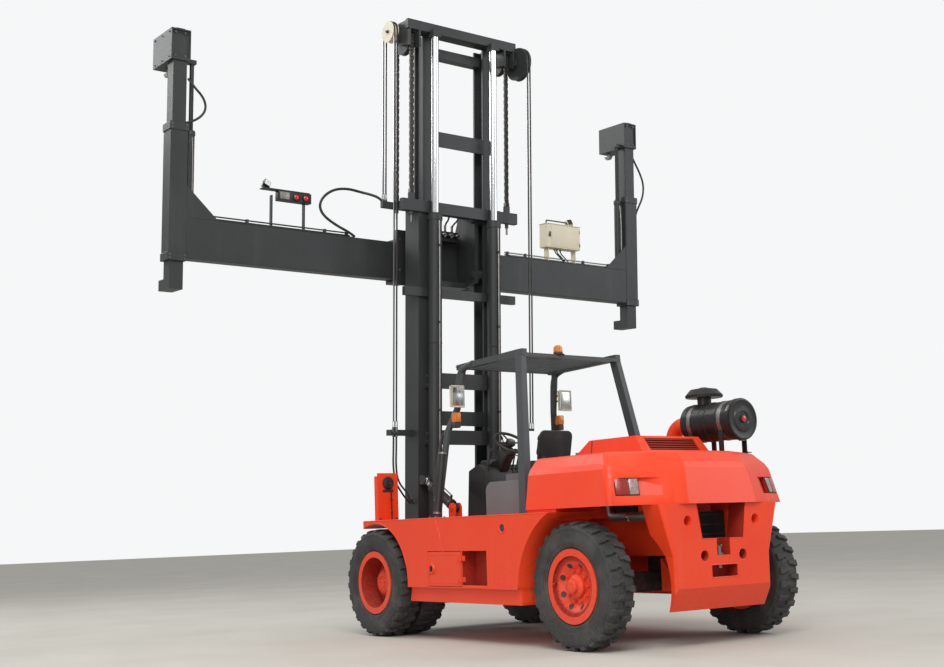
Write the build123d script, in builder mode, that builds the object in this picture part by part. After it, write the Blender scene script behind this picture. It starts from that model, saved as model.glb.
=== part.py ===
from build123d import *
from math import cos, radians, sin, sqrt, tau
import os

# An empty container handler: a counterbalanced truck whose two-stage mast carries a 20 ft side spreader.
# Millimetres. +X is forward, +Y the machine's left, +Z up. The origin is on the ground, in the middle of the
# bounding box. Stations along X are given from the rear axle; the mast's pieces have theirs from the same axle
# with the mast upright, and its lean is in the plane that they are built on.

seat_gap = 0.3
pin_fit = 0.06
run_gap = 6.0
sides = (("left", 1), ("right", -1))

# Chassis
wheelbase = 2830.0
rear_overhang = 680.0
body_half = 1150.0
deck_z = 1100.0
frame_top_z = 1075.0
sill_z = 345.0
rail_inner = 262.0
rail_wall = 30.0
rail_outer = rail_inner + rail_wall
frame_rear_x = -470.0
frame_front_x = wheelbase + 130.0
axle_hang_z = 720.0
belly_z = 400.0
nose_low_z = 640.0

# Tyres and rims
tyre_r = 509.0
tyre_width = 259.0
lug_count = 13
lug_height = 25.0
lug_width = 80.0
lug_slant = 14.0
lug_inner = 5.0
lug_root = 12.0
tread_width = 226.0
bead_r = 255.0
rim_r = bead_r - seat_gap
rim_wall = 14.0
flange_r = 297.0
bead_half = 98.0
disc_wall = 16.0
axle_z = tyre_r
rear_wheel_y = 955.0
front_outer_y = 1060.0
dual_pitch = 300.0
front_inner_y = front_outer_y - dual_pitch
dual_mid_y = front_outer_y - dual_pitch / 2
rear_axle = (0.0, axle_z)
front_axle = (wheelbase, axle_z)

# Front hubs
drum_r = 205.0
drum_in_y = 640.0
drum_width = 190.0
spindle_r = 75.0
spindle_end_y = 800.0
axle_tube_r = 105.0
hub_cap_y = 1085.0
hub_r = 150.0

# Steering
kingpin_y = 860.0
kingpin_r = 28.0
knuckle_r = 50.0
knuckle_half = 66.0
ear_wall = 30.0
ear_r = 52.0
stub_r = 34.0
rear_hub_y = kingpin_y + knuckle_r + 25
rear_hub_r = 92.0
beam_half_z = 78.0
beam_half_x = 85.0

# Mast, measured upright
lean = radians(2.95)
pivot_x = wheelbase + 175.0
pivot_z = 520.0
pivot_r = 30.0
rail_rear_x = pivot_x + 25.0
rail_front_x = rail_rear_x + 250.0
outer_in_y = 360.0
outer_out_y = 530.0
outer_web = 28.0
outer_flange = 30.0
outer_low_z = 250.0
outer_top_z = 4400.0
inner_rear_x = rail_rear_x + outer_flange + run_gap
inner_front_x = rail_front_x - outer_flange - run_gap
inner_in_y = 330.0
inner_out_y = 450.0
inner_web_y = 400.0
inner_web = 25.0
inner_flange = 22.0
inner_low_z = 2020.0
inner_top_z = 6190.0
lift_x = rail_rear_x - 83.0
lift_y = 380.0
barrel_r = 72.0
lift_rod_r = 39.0
barrel_low_z = 700.0
barrel_top_z = 4240.0
lift_rod_low_z = 2200.0
lift_rod_top_z = inner_top_z - 50.0

# Sheaves and chains
sheave_x = rail_rear_x + 140.0
sheave_y = 620.0
sheave_z = inner_top_z - 80.0
chain_run_r = 140.0
chain_width = 44.0
chain_wall = 16.0
chain_foot_z = 4460.0
left_pulley = (sheave_x + 60.0, 755.0, inner_top_z + 10.0)
left_pulley_r = 113.0
right_pulley = (sheave_x - 210.0, -750.0, inner_top_z - 130.0)
right_pulley_r = 180.0
pulley_half = 34.0
hose_r = 9.0
hose_pitch = 34.0
hose_clamp_z = 2010.0

# Carriage and spreader, measured upright
carriage_low_z = 3560.0
carriage_high_z = 4420.0
carriage_front_x = rail_rear_x + 470.0
arm_top_z = 4400.0
beam_rear_x = carriage_front_x + 45.0
beam_depth = 175.0
beam_low_z = 3630.0
beam_high_z = 4030.0
beam_wall = 14.0
spreader_half = 3050.0
collar_width = 200.0
sleeve_inset = 10.0
column_low_z = 3600.0
column_high_z = 4950.0
collar_height = 75.0
leg_low_z = 3326.0
leg_depth = 139.0
leg_width = 140.0
foot_reach_x = beam_rear_x + 275.0
box_low_z = 5570.0
box_high_z = 5880.0
box_length = 465.0
lock_x = beam_rear_x + 375.0
lock_y = spreader_half - 123.5

box_front_x = beam_rear_x + box_length
front_reach = pivot_x + (box_front_x - pivot_x) * cos(lean) - (box_low_z - pivot_z) * sin(lean)
axle_x = (rear_overhang - front_reach) / 2

ground = Plane(origin=(axle_x, 0, 0))
lean_x = Vector(cos(lean), 0, sin(lean))
lean_z = Vector(-sin(lean), 0, cos(lean))
mast = Plane(
    origin=Vector(axle_x + pivot_x, 0, pivot_z) - lean_x * pivot_x - lean_z * pivot_z,
    x_dir=lean_x,
    z_dir=lean_z,
)

os.makedirs("parts", exist_ok=True)


def plan(frame, z):
    """A plane seen from above at height z: x forward, y to the left. Extrusion rises."""
    return Plane(origin=frame.from_local_coords((0, 0, z)), x_dir=frame.x_dir, z_dir=frame.z_dir)


def flank(frame, y):
    """A plane seen from the right at y: x forward, z up. Extrusion runs to the right."""
    return Plane(origin=frame.from_local_coords((0, y, 0)), x_dir=frame.x_dir, z_dir=-frame.y_dir)


def section(frame, x):
    """A plane across the machine at x: y to the left, z up. Extrusion runs forward."""
    return Plane(origin=frame.from_local_coords((x, 0, 0)), x_dir=frame.y_dir, z_dir=frame.x_dir)


def block(x, y, z, mode=Mode.ADD):
    """A block between the two ends of x, y and z, in the frame of the open piece."""
    spans = (x, y, z)
    with Locations(tuple(sum(ends) / 2 for ends in spans)):
        Box(*[abs(ends[1] - ends[0]) for ends in spans], mode=mode)


def plate(frame, y, width, outline, mode=Mode.ADD):
    """A plate with a side view of (x, z) points, between y and y + width."""
    with BuildSketch(flank(frame, max(y, y + width))) as shape:
        with BuildLine():
            Polyline(*outline, close=True)
        make_face()
    extrude(shape.sketch, amount=abs(width), mode=mode)


def rod(frame, start, end, radius, mode=Mode.ADD):
    """A round bar from start to end."""
    first, last = frame.from_local_coords(Vector(*start)), frame.from_local_coords(Vector(*end))
    with BuildSketch(Plane(origin=first, z_dir=last - first)) as shape:
        Circle(radius)
    extrude(shape.sketch, amount=(last - first).length, mode=mode)


def tube(frame, points, radius, bend):
    """A round tube through points, its corners rounded by bend."""
    route = [frame.from_local_coords(Vector(*point)) for point in points]
    with BuildLine() as path:
        FilletPolyline(*route, radius=bend)
    with BuildSketch(Plane(origin=path.line @ 0, z_dir=path.line % 0)) as shape:
        Circle(radius)
    sweep(shape.sketch, path=path.line)


def turned(frame, centre, direction, profile, mode=Mode.ADD):
    """A turned form about the line through centre; the profile's points are (distance along it, radius)."""
    along = Vector(*direction).normalized()
    across = Vector(0, 0, 1) if abs(along.Z) < 0.5 else Vector(1, 0, 0)
    plane = Plane(origin=frame.from_local_coords(Vector(*centre)), x_dir=along, z_dir=along.cross(across))
    with BuildSketch(plane) as shape:
        with BuildLine():
            Polyline(*profile, close=True)
        make_face()
    revolve(shape.sketch, axis=Axis(plane.origin, along), mode=mode)


def keep(piece, name):
    """Names a finished piece and writes it."""
    piece.part.label = name
    export_step(piece.part, f"parts/{name}.step")


# Wheels

flats = 2 * lug_count
base_r = tyre_r - lug_height
# half-width, radius
tyre_sections = (
    (-tyre_width / 2, 385.0),
    (-tread_width / 2, base_r),
    (tread_width / 2, base_r),
    (tyre_width / 2, 385.0),
)
sidewall_lip = (tyre_width / 2 + 1, 340.0)
rim_half = bead_half + seat_gap + rim_wall
rim_bore = rim_r - rim_wall
rim_outline = (
    (-rim_half, flange_r),
    (-rim_half, rim_bore),
    (rim_half, rim_bore),
    (rim_half, flange_r),
    (rim_half - rim_wall, flange_r),
    (rim_half - rim_wall, rim_r),
    (rim_wall - rim_half, rim_r),
    (rim_wall - rim_half, flange_r),
)


def flat_rings(y, axle, rings, mode=Mode.ADD):
    """A body with one flat under each lug, lofted through rings of (offset, radius)."""
    sections = []
    for offset, radius in rings:
        plane = Plane(origin=(axle_x + axle[0], y + offset, axle[1]), x_dir=(0, 0, 1), z_dir=(0, 1, 0))
        with BuildSketch(plane) as section:
            RegularPolygon(radius, flats, major_radius=False, rotation=180 / flats)
        sections.append(section.sketch)
    loft(sections, ruled=True, mode=mode)


def tyre(y, axle):
    """A carcass with two rings of slanted lugs, half a pitch apart."""
    flat_rings(y, axle, tyre_sections)
    flat_rings(y, axle, ((-tyre_width, bead_r), (tyre_width, bead_r)), Mode.SUBTRACT)
    for hand in (1, -1):
        lip = ((hand * bead_half, flange_r + 3), (hand * sidewall_lip[0], sidewall_lip[1]))
        flat_rings(y, axle, lip, Mode.SUBTRACT)
        planes = []
        for number in range(lug_count):
            turn = tau * (number + (0 if hand > 0 else 0.5)) / lug_count
            outward = Vector(sin(turn), 0, cos(turn))
            centre = ground.from_local_coords(
                Vector(axle[0], y, axle[1]) + outward * (base_r - lug_root)
            )
            planes.append(Plane(origin=centre, x_dir=(0, hand, 0), z_dir=outward))
        with BuildSketch(*planes) as lugs:
            with BuildLine():
                Polyline(
                    (lug_inner, lug_slant - lug_width / 2),
                    (tread_width / 2, -lug_slant - lug_width / 2),
                    (tread_width / 2, lug_width / 2 - lug_slant),
                    (lug_inner, lug_width / 2),
                    close=True,
                )
            make_face()
        extrude(lugs.sketch, amount=lug_root + lug_height)


for side, s in sides:
    with BuildPart(ground) as front_tyres:
        tyre(s * front_outer_y, front_axle)
        tyre(s * front_inner_y, front_axle)
    keep(front_tyres, f"front_{side}_tyres")

    # Both rims bolt to one flange; the brake drum and the planetary hub turn with them.
    outward = (0, s, 0)
    with BuildPart(ground) as front_rims:
        for y in (front_outer_y, front_inner_y):
            turned(ground, (wheelbase, s * y, axle_z), outward, rim_outline)
        turned(ground, (wheelbase, s * dual_mid_y, axle_z), outward, [
            (-disc_wall, hub_r - 20),
            (disc_wall, hub_r - 20),
            (disc_wall, rim_bore - 40),
            (60, rim_bore + 1),
            (-60, rim_bore + 1),
            (-disc_wall, rim_bore - 40),
        ])
        turned(ground, (wheelbase, 0, axle_z), outward, [
            (drum_in_y, spindle_r + pin_fit),
            (drum_in_y, drum_r),
            (drum_in_y + drum_width, drum_r),
            (drum_in_y + drum_width + 20, hub_r + 15),
            (dual_mid_y + disc_wall + 25, hub_r + 15),
            (dual_mid_y + disc_wall + 25, hub_r),
            (hub_cap_y - 45, hub_r - 15),
            (hub_cap_y - 12, hub_r - 45),
            (hub_cap_y, hub_r - 75),
            (hub_cap_y, 0),
            (spindle_end_y + run_gap, 0),
            (spindle_end_y + run_gap, spindle_r + pin_fit),
        ])
    keep(front_rims, f"front_{side}_rims")

    with BuildPart(ground) as rear_tyre:
        tyre(s * rear_wheel_y, rear_axle)
    keep(rear_tyre, f"rear_{side}_tyre")

    with BuildPart(ground) as rear_rim:
        turned(ground, (0, s * rear_wheel_y, axle_z), outward, rim_outline)
        disc_y = rear_hub_y + 60
        turned(ground, (0, s * disc_y, axle_z), outward, [
            (-disc_wall, rear_hub_r - 10),
            (0, rear_hub_r - 10),
            (0, rear_hub_r + 45),
            (50, rim_bore - 30),
            (50, rim_bore + 1),
            (50 - disc_wall, rim_bore + 1),
            (50 - disc_wall, rim_bore - 34),
            (-disc_wall, rear_hub_r + 53),
        ])
        turned(ground, (0, s * rear_hub_y, axle_z), outward, [
            (0, stub_r + pin_fit),
            (0, rear_hub_r),
            (95, rear_hub_r),
            (115, 62),
            (140, 56),
            (148, 40),
            (148, 0),
            (106, 0),
            (106, stub_r + pin_fit),
        ])
    keep(rear_rim, f"rear_{side}_rim")

    pin_half = knuckle_half + ear_wall + 10
    with BuildPart(ground) as knuckle:
        foot, head = (0, s * kingpin_y, axle_z - knuckle_half), (0, s * kingpin_y, axle_z + knuckle_half)
        rod(ground, foot, head, knuckle_r)
        rod(ground, (0, s * kingpin_y, axle_z), (0, s * (rear_hub_y + 100), axle_z), stub_r)
        foot, head = (0, s * kingpin_y, axle_z - pin_half), (0, s * kingpin_y, axle_z + pin_half)
        rod(ground, foot, head, kingpin_r)
    keep(knuckle, f"knuckle_{side}")

with BuildPart(ground) as drive_axle:
    tube_end = drum_in_y - run_gap
    rod(ground, (wheelbase, -tube_end, axle_z), (wheelbase, tube_end, axle_z), axle_tube_r)
    rod(ground, (wheelbase, -spindle_end_y, axle_z), (wheelbase, spindle_end_y, axle_z), spindle_r)
    with Locations((wheelbase, 0, axle_z)):
        Sphere(205)
    rod(ground, (wheelbase - 330, 0, axle_z), (wheelbase, 0, axle_z), 110)
    for s in (1, -1):
        block((wheelbase - 110, wheelbase + 90), (s * 228, s * rail_outer), (axle_z, nose_low_z))
keep(drive_axle, "drive_axle")

with BuildPart(ground) as steer_axle:
    reach = kingpin_y - knuckle_r - 16
    ear_z = knuckle_half + 1
    block((-beam_half_x, beam_half_x), (-reach, reach), (axle_z - beam_half_z, axle_z + beam_half_z))
    block((-beam_half_x, beam_half_x), (-150, 150), (axle_z, axle_hang_z))
    for s in (1, -1):
        for low in (ear_z, -ear_z - ear_wall):
            rod(ground, (0, s * kingpin_y, axle_z + low), (0, s * kingpin_y, axle_z + low + ear_wall), ear_r)
            block((-ear_r, ear_r), (s * (reach - 40), s * kingpin_y), (axle_z + low, axle_z + low + ear_wall))
        hole = pin_half + 20
        foot, head = (0, s * kingpin_y, axle_z - hole), (0, s * kingpin_y, axle_z + hole)
        rod(ground, foot, head, kingpin_r + pin_fit, mode=Mode.SUBTRACT)
keep(steer_axle, "steer_axle")

# Frame: two plates arched over the steer axle, joined by cross plates, with ears for the mast and its cylinders

tilt_y = 490.0
tilt_anchor = (wheelbase - 430.0, 1200.0)
tilt_anchor_r = 20.0
tilt_eye = (rail_rear_x - 65.0, 1500.0)
tilt_eye_r = 16.0
tilt_eye_half = 15.0
tilt_lug = 20.0
with BuildPart(ground) as frame:
    for s in (1, -1):
        plate(ground, s * rail_inner, s * rail_wall, [
            (frame_rear_x, axle_hang_z), (170, axle_hang_z), (240, belly_z), (2380, belly_z),
            (2480, nose_low_z), (frame_front_x, nose_low_z), (frame_front_x, frame_top_z),
            (frame_rear_x, frame_top_z),
        ])
        plate(ground, s * rail_inner, s * (rail_wall + 8), [
            (pivot_x - 60, 450), (pivot_x + 40, 450), (pivot_x + 80, pivot_z), (pivot_x + 60, 590),
            (frame_front_x, 800), (frame_front_x - 40, 800), (frame_front_x - 40, nose_low_z + 5),
            (pivot_x - 60, nose_low_z - 20),
        ])
        near, far = (s * (rail_inner - 1), s * (rail_outer + 9))
        rod(ground, (pivot_x, near, pivot_z), (pivot_x, far, pivot_z), pivot_r + pin_fit, mode=Mode.SUBTRACT)
        # Anchor of the tilt cylinder
        x, z = tilt_anchor
        block((x - 70, x + 70), (s * rail_outer, s * (tilt_y + 26 + tilt_lug)), (950, deck_z - 10))
        for y in (tilt_y - 26 - tilt_lug, tilt_y + 26):
            block((x - 50, x + 50), (s * y, s * (y + tilt_lug)), (deck_z - 20, z))
            rod(ground, (x, s * y, z), (x, s * (y + tilt_lug), z), 50)
        rod(ground, (x, s * (tilt_y - 50), z), (x, s * (tilt_y + 50), z), tilt_anchor_r)
    inner = (-rail_inner, rail_inner)
    block((-160, 160), inner, (axle_hang_z, axle_hang_z + 40))
    block((frame_rear_x, frame_rear_x + 30), inner, (axle_hang_z, 850))
    block((1230, 1260), inner, (belly_z, frame_top_z))
    block((frame_front_x - 30, frame_front_x), inner, (nose_low_z + 160, frame_top_z))
keep(frame, "frame")

# Side bodies: steps and tanks between the wheels, with the front fenders

front_arch_r = 560.0
rear_arch_x = 600.0
arch_top_x = 160.0
fender_front_x = wheelbase + 220.0
fender_in_y = 600.0
door_x = (1400.0, 1925.0)
door_z = (492.0, 795.0)
door_wall = 22.0
step_x = (1020.0, 1380.0)
step_z = (490.0, 800.0)
step_depth = 150.0
ledge_z = 1130.0
arch_low_x = wheelbase - sqrt(front_arch_r**2 - (axle_z - sill_z) ** 2)
arch_mid = (wheelbase - front_arch_r * cos(radians(60)), axle_z + front_arch_r * sin(radians(60)))
fender_tip_z = axle_z + sqrt(front_arch_r**2 - (fender_front_x - wheelbase) ** 2)
with BuildPart(ground) as side_bodies:
    for s in (1, -1):
        with BuildSketch(flank(ground, max(s * body_half, s * fender_in_y))):
            with BuildLine():
                Line((rear_arch_x, sill_z), (arch_low_x, sill_z))
                ThreePointArc((arch_low_x, sill_z), arch_mid, (fender_front_x, fender_tip_z))
                Polyline((fender_front_x, fender_tip_z), (fender_front_x, deck_z), (arch_top_x, deck_z))
                ThreePointArc((arch_top_x, deck_z), (500, 800), (rear_arch_x, sill_z))
            make_face()
        extrude(amount=body_half - fender_in_y)
        block((rear_arch_x + 40, 2180), (s * rail_outer, s * fender_in_y), (belly_z, deck_z))
        block((260, 640), (s * 400, s * 985), (deck_z - 60, ledge_z))
        # The sill stands back under its lip
        block((550, 2300), (s * (body_half - 45), s * (body_half + 1)), (sill_z - 1, 475), mode=Mode.SUBTRACT)
        block(step_x, (s * (body_half - step_depth), s * (body_half + 1)), step_z, mode=Mode.SUBTRACT)
    block(
        (door_x[0] - run_gap, door_x[1] + run_gap), (body_half - door_wall - run_gap, body_half + 1),
        (door_z[0] - run_gap, door_z[1] + run_gap), mode=Mode.SUBTRACT,
    )
    block(
        (door_x[0] + 25, door_x[1] - 25), (body_half - 300, body_half), (door_z[0] + 25, door_z[1] - 25),
        mode=Mode.SUBTRACT,
    )
keep(side_bodies, "side_bodies")

hinge_x = door_x[0] - 12.0
hinge_y = body_half + 12.0
with BuildPart(ground) as side_door:
    block(door_x, (body_half - door_wall, body_half), door_z)
    for z in (door_z[0] + 60, door_z[1] - 60):
        rod(ground, (hinge_x, hinge_y, z - 22), (hinge_x, hinge_y, z + 22), 9)
        block((hinge_x, door_x[0] + 50), (body_half, body_half + 8), (z - 22, z + 22))
    block((door_x[1] - 70, door_x[1] - 30), (body_half, body_half + 14), (620, 670))
keep(side_door, "side_door")

# Lamp uprights on the front fenders
upright_x = wheelbase + 130.0
upright_y = (790.0, 1030.0)
upright_top_z = 1570.0
lamp_z = 1470.0
lamp_y = sum(upright_y) / 2
with BuildPart(ground) as lamp_uprights:
    for s in (1, -1):
        low, high = upright_y
        block((upright_x, upright_x + 8), (s * low, s * high), (deck_z, upright_top_z))
        for edge in (low, high - 8):
            block((upright_x, upright_x + 60), (s * edge, s * (edge + 8)), (deck_z, upright_top_z - 30))
        rod(ground, (upright_x - 5, s * lamp_y, lamp_z), (upright_x + 20, s * lamp_y, lamp_z), 56.3,
            mode=Mode.SUBTRACT)
keep(lamp_uprights, "lamp_uprights")

# Counterweight

cw_rear_x = -650.0
cw_low_z = 290.0
cw_half = 552.0
cw_low_half = 540.0
cw_flare_z = 720.0
cw_edge_r = 30.0
rear_arch_r = 585.0
wing_half = 540.0
wing_in_x = -250.0
wing_out_x = -440.0
wing_low_z = 860.0
cw_top_half = 680.0
outlet_half = 285.0
outlet_low_z = 845.0
outlet_taper = 45.0
lift_hole_r = 42.0
lift_holes = ((390.0, 994.0), (220.0, 714.0))
hitch_x = cw_rear_x + 55.0
hitch_r = 20.0
with BuildPart(ground) as counterweight:
    outline = [
        (cw_low_half, cw_low_z), (cw_half, cw_flare_z), (cw_top_half, ledge_z),
        (-cw_top_half, ledge_z), (-cw_half, cw_flare_z), (-cw_low_half, cw_low_z),
    ]
    with BuildSketch(section(ground, cw_rear_x)):
        with BuildLine():
            Polyline(*outline, close=True)
        make_face()
    extrude(amount=wing_out_x - cw_rear_x)
    fillet(counterweight.edges().filter_by(lambda edge: edge.center().X < axle_x + cw_rear_x + 1
                                           and abs(edge.center().Y) > cw_low_half - 1), cw_edge_r)
    # Wings over the steer axle, outside the frame
    for s in (1, -1):
        block((wing_out_x - 1, wing_in_x), (s * (rail_outer + seat_gap), s * wing_half), (wing_low_z, ledge_z))
    block((frame_rear_x, -180), (-rail_inner + 8, rail_inner - 8), (430, 700))
    for s in (1, -1):
        near, far = (s * (rail_outer + seat_gap), s * (cw_top_half + 1))
        rod(ground, (0, near, axle_z), (0, far, axle_z), rear_arch_r, mode=Mode.SUBTRACT)
    block((frame_rear_x, wing_in_x + 1), (-rail_outer - seat_gap, rail_outer + seat_gap), (700, ledge_z + 1),
          mode=Mode.SUBTRACT)
    # The rear face leans forward below the crease
    plate(ground, cw_top_half + 10, -2 * cw_top_half - 20, [
        (cw_rear_x - 1, 470), (cw_rear_x - 1, cw_low_z - 1), (cw_rear_x + 90, cw_low_z - 1),
    ], mode=Mode.SUBTRACT)
    # Radiator outlet, wider at the top
    with BuildSketch(section(ground, cw_rear_x - 1)):
        with BuildLine():
            Polyline(
                (-outlet_half, ledge_z + 1), (outlet_half, ledge_z + 1), (outlet_half - outlet_taper, outlet_low_z),
                (outlet_taper - outlet_half, outlet_low_z), close=True,
            )
        make_face()
    extrude(amount=wing_out_x - cw_rear_x + 2, mode=Mode.SUBTRACT)
    for y, z in lift_holes:
        for s in (1, -1):
            rod(ground, (cw_rear_x - 1, s * y, z), (cw_rear_x + 120, s * y, z), lift_hole_r, mode=Mode.SUBTRACT)
    block((cw_rear_x - 1, cw_rear_x + 120), (-75, 75), (715, outlet_low_z + 1), mode=Mode.SUBTRACT)
    block((cw_rear_x - 1, cw_rear_x + 120), (-150, 150), (540, 640), mode=Mode.SUBTRACT)
    rod(ground, (hitch_x, 0, 600), (hitch_x, 0, 716), hitch_r + pin_fit, mode=Mode.SUBTRACT)
keep(counterweight, "counterweight")

with BuildPart(ground) as hitch_pin:
    rod(ground, (hitch_x, 0, 610), (hitch_x, 0, 790), hitch_r)
    rod(ground, (hitch_x, 0, 715 + seat_gap), (hitch_x, 0, 730), hitch_r + 14)
    rod(ground, (hitch_x - 30, 0, 790), (hitch_x + 30, 0, 790), 9)
keep(hitch_pin, "hitch_pin")

with BuildPart(ground) as radiator:
    half = rail_inner - seat_gap
    block((frame_rear_x + 40, frame_rear_x + 110), (-half, half), (axle_hang_z + 45, frame_top_z - 5))
keep(radiator, "radiator")

with BuildPart(ground) as engine:
    block((-100, 1050), (-half, half), (axle_hang_z + 45, 1370))
keep(engine, "engine")

# Engine hood: a shell in three levels, each a plan of its rear face, its corner facets and its sides

hood_top_z = 1565.0
hood_belt_z = 1445.0
hood_front_x = 640.0
hood_wall = 20.0
hood_corner_r = 70.0
# height, rear x, rear half width, corner x, corner half width, side x, side half width
hood_foot = (ledge_z, -680, 400, -640, 520, -420, 1000)
hood_belt = (hood_belt_z, -610, 360, -570, 430, -345, 955)
hood_crown = (hood_top_z, -500, 310, -465, 390, -250, 850)
hood_lip = (hood_top_z, -478, 302, -444, 378, -230, 828)


def between(low, high, share):
    return tuple(a + (b - a) * share for a, b in zip(low, high))


hood_levels = (
    hood_foot, between(hood_foot, hood_belt, 0.92), between(hood_belt, hood_crown, 0.2),
    between(hood_belt, hood_crown, 0.9), hood_lip,
)


def hood_form(inset, mode):
    levels = (*hood_levels[:3], hood_lip) if inset else hood_levels
    for pair in zip(levels, levels[1:]):
        shapes = []
        for z, rear_x, rear_half, corner_x, corner_half, side_x, side_half in pair:
            drop = inset if z == hood_top_z else 2 if inset and z == ledge_z else 0
            front_x = hood_front_x + (2 if inset else 0)
            right = [
                (rear_x + inset, rear_half), (corner_x + inset, corner_half - inset / 2),
                (side_x + inset / 2, side_half - inset), (front_x, side_half - inset),
            ]
            left = [(x, -y) for x, y in reversed(right)]
            with BuildSketch(plan(ground, z - drop)) as shape:
                with BuildLine():
                    Polyline(*right, *left, close=True)
                make_face()
                rear_corners = shape.vertices().filter_by(lambda corner: corner.X < front_x - 1)
                fillet(rear_corners, hood_corner_r - inset)
            shapes.append(shape.sketch)
        loft(shapes, ruled=True, mode=mode)


def facet_plane(s):
    """The plane of a rear corner facet of the hood, at the middle of its lamp: x level, z outward."""
    low_z, _, _, low_x, low_y, low_end_x, low_end_y = hood_foot
    high_z, _, _, high_x, high_y, high_end_x, high_end_y = hood_belt
    share = (tail_lamp_z - low_z) / (high_z - low_z)
    low_mid = Vector((low_x + low_end_x) / 2, s * (low_y + low_end_y) / 2, low_z)
    high_mid = Vector((high_x + high_end_x) / 2, s * (high_y + high_end_y) / 2, high_z)
    along = Vector(low_end_x - low_x, s * (low_end_y - low_y), 0).normalized()
    outward = (high_mid - low_mid).cross(along).normalized() * s
    return Plane(
        origin=ground.from_local_coords(low_mid + (high_mid - low_mid) * share + along * tail_lamp_shift),
        x_dir=along, z_dir=outward,
    )


def lamp_recess(plane, grow, mode):
    """A lamp's pocket with a floor that rises to the skin towards the machine's middle, or its casing."""
    width, height = tail_lamp
    across = Plane(origin=plane.origin - plane.y_dir * (height / 2 + grow), x_dir=plane.x_dir, z_dir=plane.y_dir)
    mouth, end_depth = (8, 18) if grow else (-3, 2)
    near, far, end = (width / 2 + grow, -width / 2 - grow, -width / 2 - recess_run)
    with BuildSketch(across) as shape:
        with BuildLine():
            Polyline(
                (near, mouth), (near, recess_depth + grow), (far, recess_depth + grow), (end, end_depth), (end, mouth),
                close=True,
            )
        make_face()
    extrude(shape.sketch, amount=height + 2 * grow, mode=mode)


def facet_block(plane, width, height, low, high, mode=Mode.ADD):
    """A block let into a facet, between two heights over it."""
    with BuildSketch(plane.offset(low)) as shape:
        Rectangle(width, height)
    extrude(shape.sketch, amount=high - low, mode=mode)


tail_lamp_z = 1275.0
tail_lamp = (205.0, 148.0)
tail_lamp_shift = 118.0
recess_run = 190.0
recess_depth = 42.0
lid_rear_x = -190.0
lid_front_x = 700.0
lid_half = 395.0
lid_hinge = (725.0, 1610.0)
lid_top_z = 1715.0
lid_low_z = hood_top_z + run_gap
lid_wall = 12.0
lid_slope_run = 110.0
louvre_half = 290.0
with BuildPart(ground) as hood:
    hood_form(0, Mode.ADD)
    hood_form(hood_wall, Mode.SUBTRACT)
    block(
        (lid_rear_x + 30, hood_front_x + 5), (-lid_half + 30, lid_half - 30),
        (hood_top_z - hood_wall - 5, hood_top_z + 5), mode=Mode.SUBTRACT,
    )
    for s in (1, -1):
        lamp_recess(facet_plane(s), 12, Mode.ADD)
    for s in (1, -1):
        lamp_recess(facet_plane(s), 0, Mode.SUBTRACT)
keep(hood, "hood")

with BuildPart(ground) as hood_lid:
    for inset in (0, lid_wall):
        with BuildSketch(plan(ground, lid_low_z - (1 if inset else 0))) as foot:
            low, high = (lid_rear_x + inset, lid_front_x - inset)
            with Locations(((low + high) / 2, 0)):
                Rectangle(high - low, 2 * (lid_half - inset))
        with BuildSketch(plan(ground, lid_top_z - inset)) as top:
            low, high = (lid_rear_x + lid_slope_run + inset, lid_front_x - 200 - inset)
            with Locations(((low + high) / 2, 0)):
                Rectangle(high - low, 2 * (lid_half - 20 - inset))
        loft([foot.sketch, top.sketch], ruled=True, mode=Mode.SUBTRACT if inset else Mode.ADD)
    # Louvres in the rear slope
    slope = Vector(lid_slope_run, 0, lid_top_z - lid_low_z)
    foot = Vector(lid_rear_x, 0, lid_low_z)
    plate(ground, louvre_half, -2 * louvre_half, [
        (foot.X + slope.X * share + dx, foot.Z + slope.Z * share) for share, dx in
        ((0.14, -30), (0.86, -30), (0.86, 60), (0.14, 60))
    ], mode=Mode.SUBTRACT)
    for number in range(5):
        spot = foot + slope * (0.14 + 0.72 * (number + 0.5) / 5)
        block((spot.X + 1, spot.X + 24), (-louvre_half - 4, louvre_half + 4), (spot.Z - 5, spot.Z + 5))
    for s in (1, -1):
        block((lid_front_x - 20, lid_hinge[0]), (s * 270, s * 300), (lid_low_z, lid_hinge[1]))
        rod(ground, (lid_hinge[0], s * 262, lid_hinge[1]), (lid_hinge[0], s * 308, lid_hinge[1]), 13)
        rod(ground, (lid_hinge[0], s * 250, lid_hinge[1]), (lid_hinge[0], s * 310, lid_hinge[1]), 6 + pin_fit,
            mode=Mode.SUBTRACT)
keep(hood_lid, "hood_lid")

# Air cleaner over the hood's right side, its intake and the tail pipe

cleaner_y = -620.0
cleaner_z = 1850.0
cleaner_r = 170.0
elbow_r = 72.0
with BuildPart(ground) as air_cleaner:
    rod(ground, (-360, cleaner_y, cleaner_z), (210, cleaner_y, cleaner_z), cleaner_r)
    rod(ground, (-375, cleaner_y, cleaner_z), (-335, cleaner_y, cleaner_z), cleaner_r + 12)
    turned(ground, (60, cleaner_y, cleaner_z), (0, 0, 1), [
        (0, 0), (0, 62), (225, 62), (225, 160), (250, 165), (300, 120), (310, 60), (310, 0),
    ])
    for x in (-250, 110):
        block((x - 25, x + 25), (cleaner_y - 150, cleaner_y - 138), (hood_top_z, cleaner_z))
        block((x - 25, x + 25), (cleaner_y + 138, cleaner_y + 150), (hood_top_z, cleaner_z))
keep(air_cleaner, "air_cleaner")

with BuildPart(ground) as intake_elbow:
    tube(ground, [(210, cleaner_y, cleaner_z), (470, cleaner_y, cleaner_z), (470, cleaner_y, hood_top_z)],
         elbow_r, 140)
keep(intake_elbow, "intake_elbow")

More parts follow.
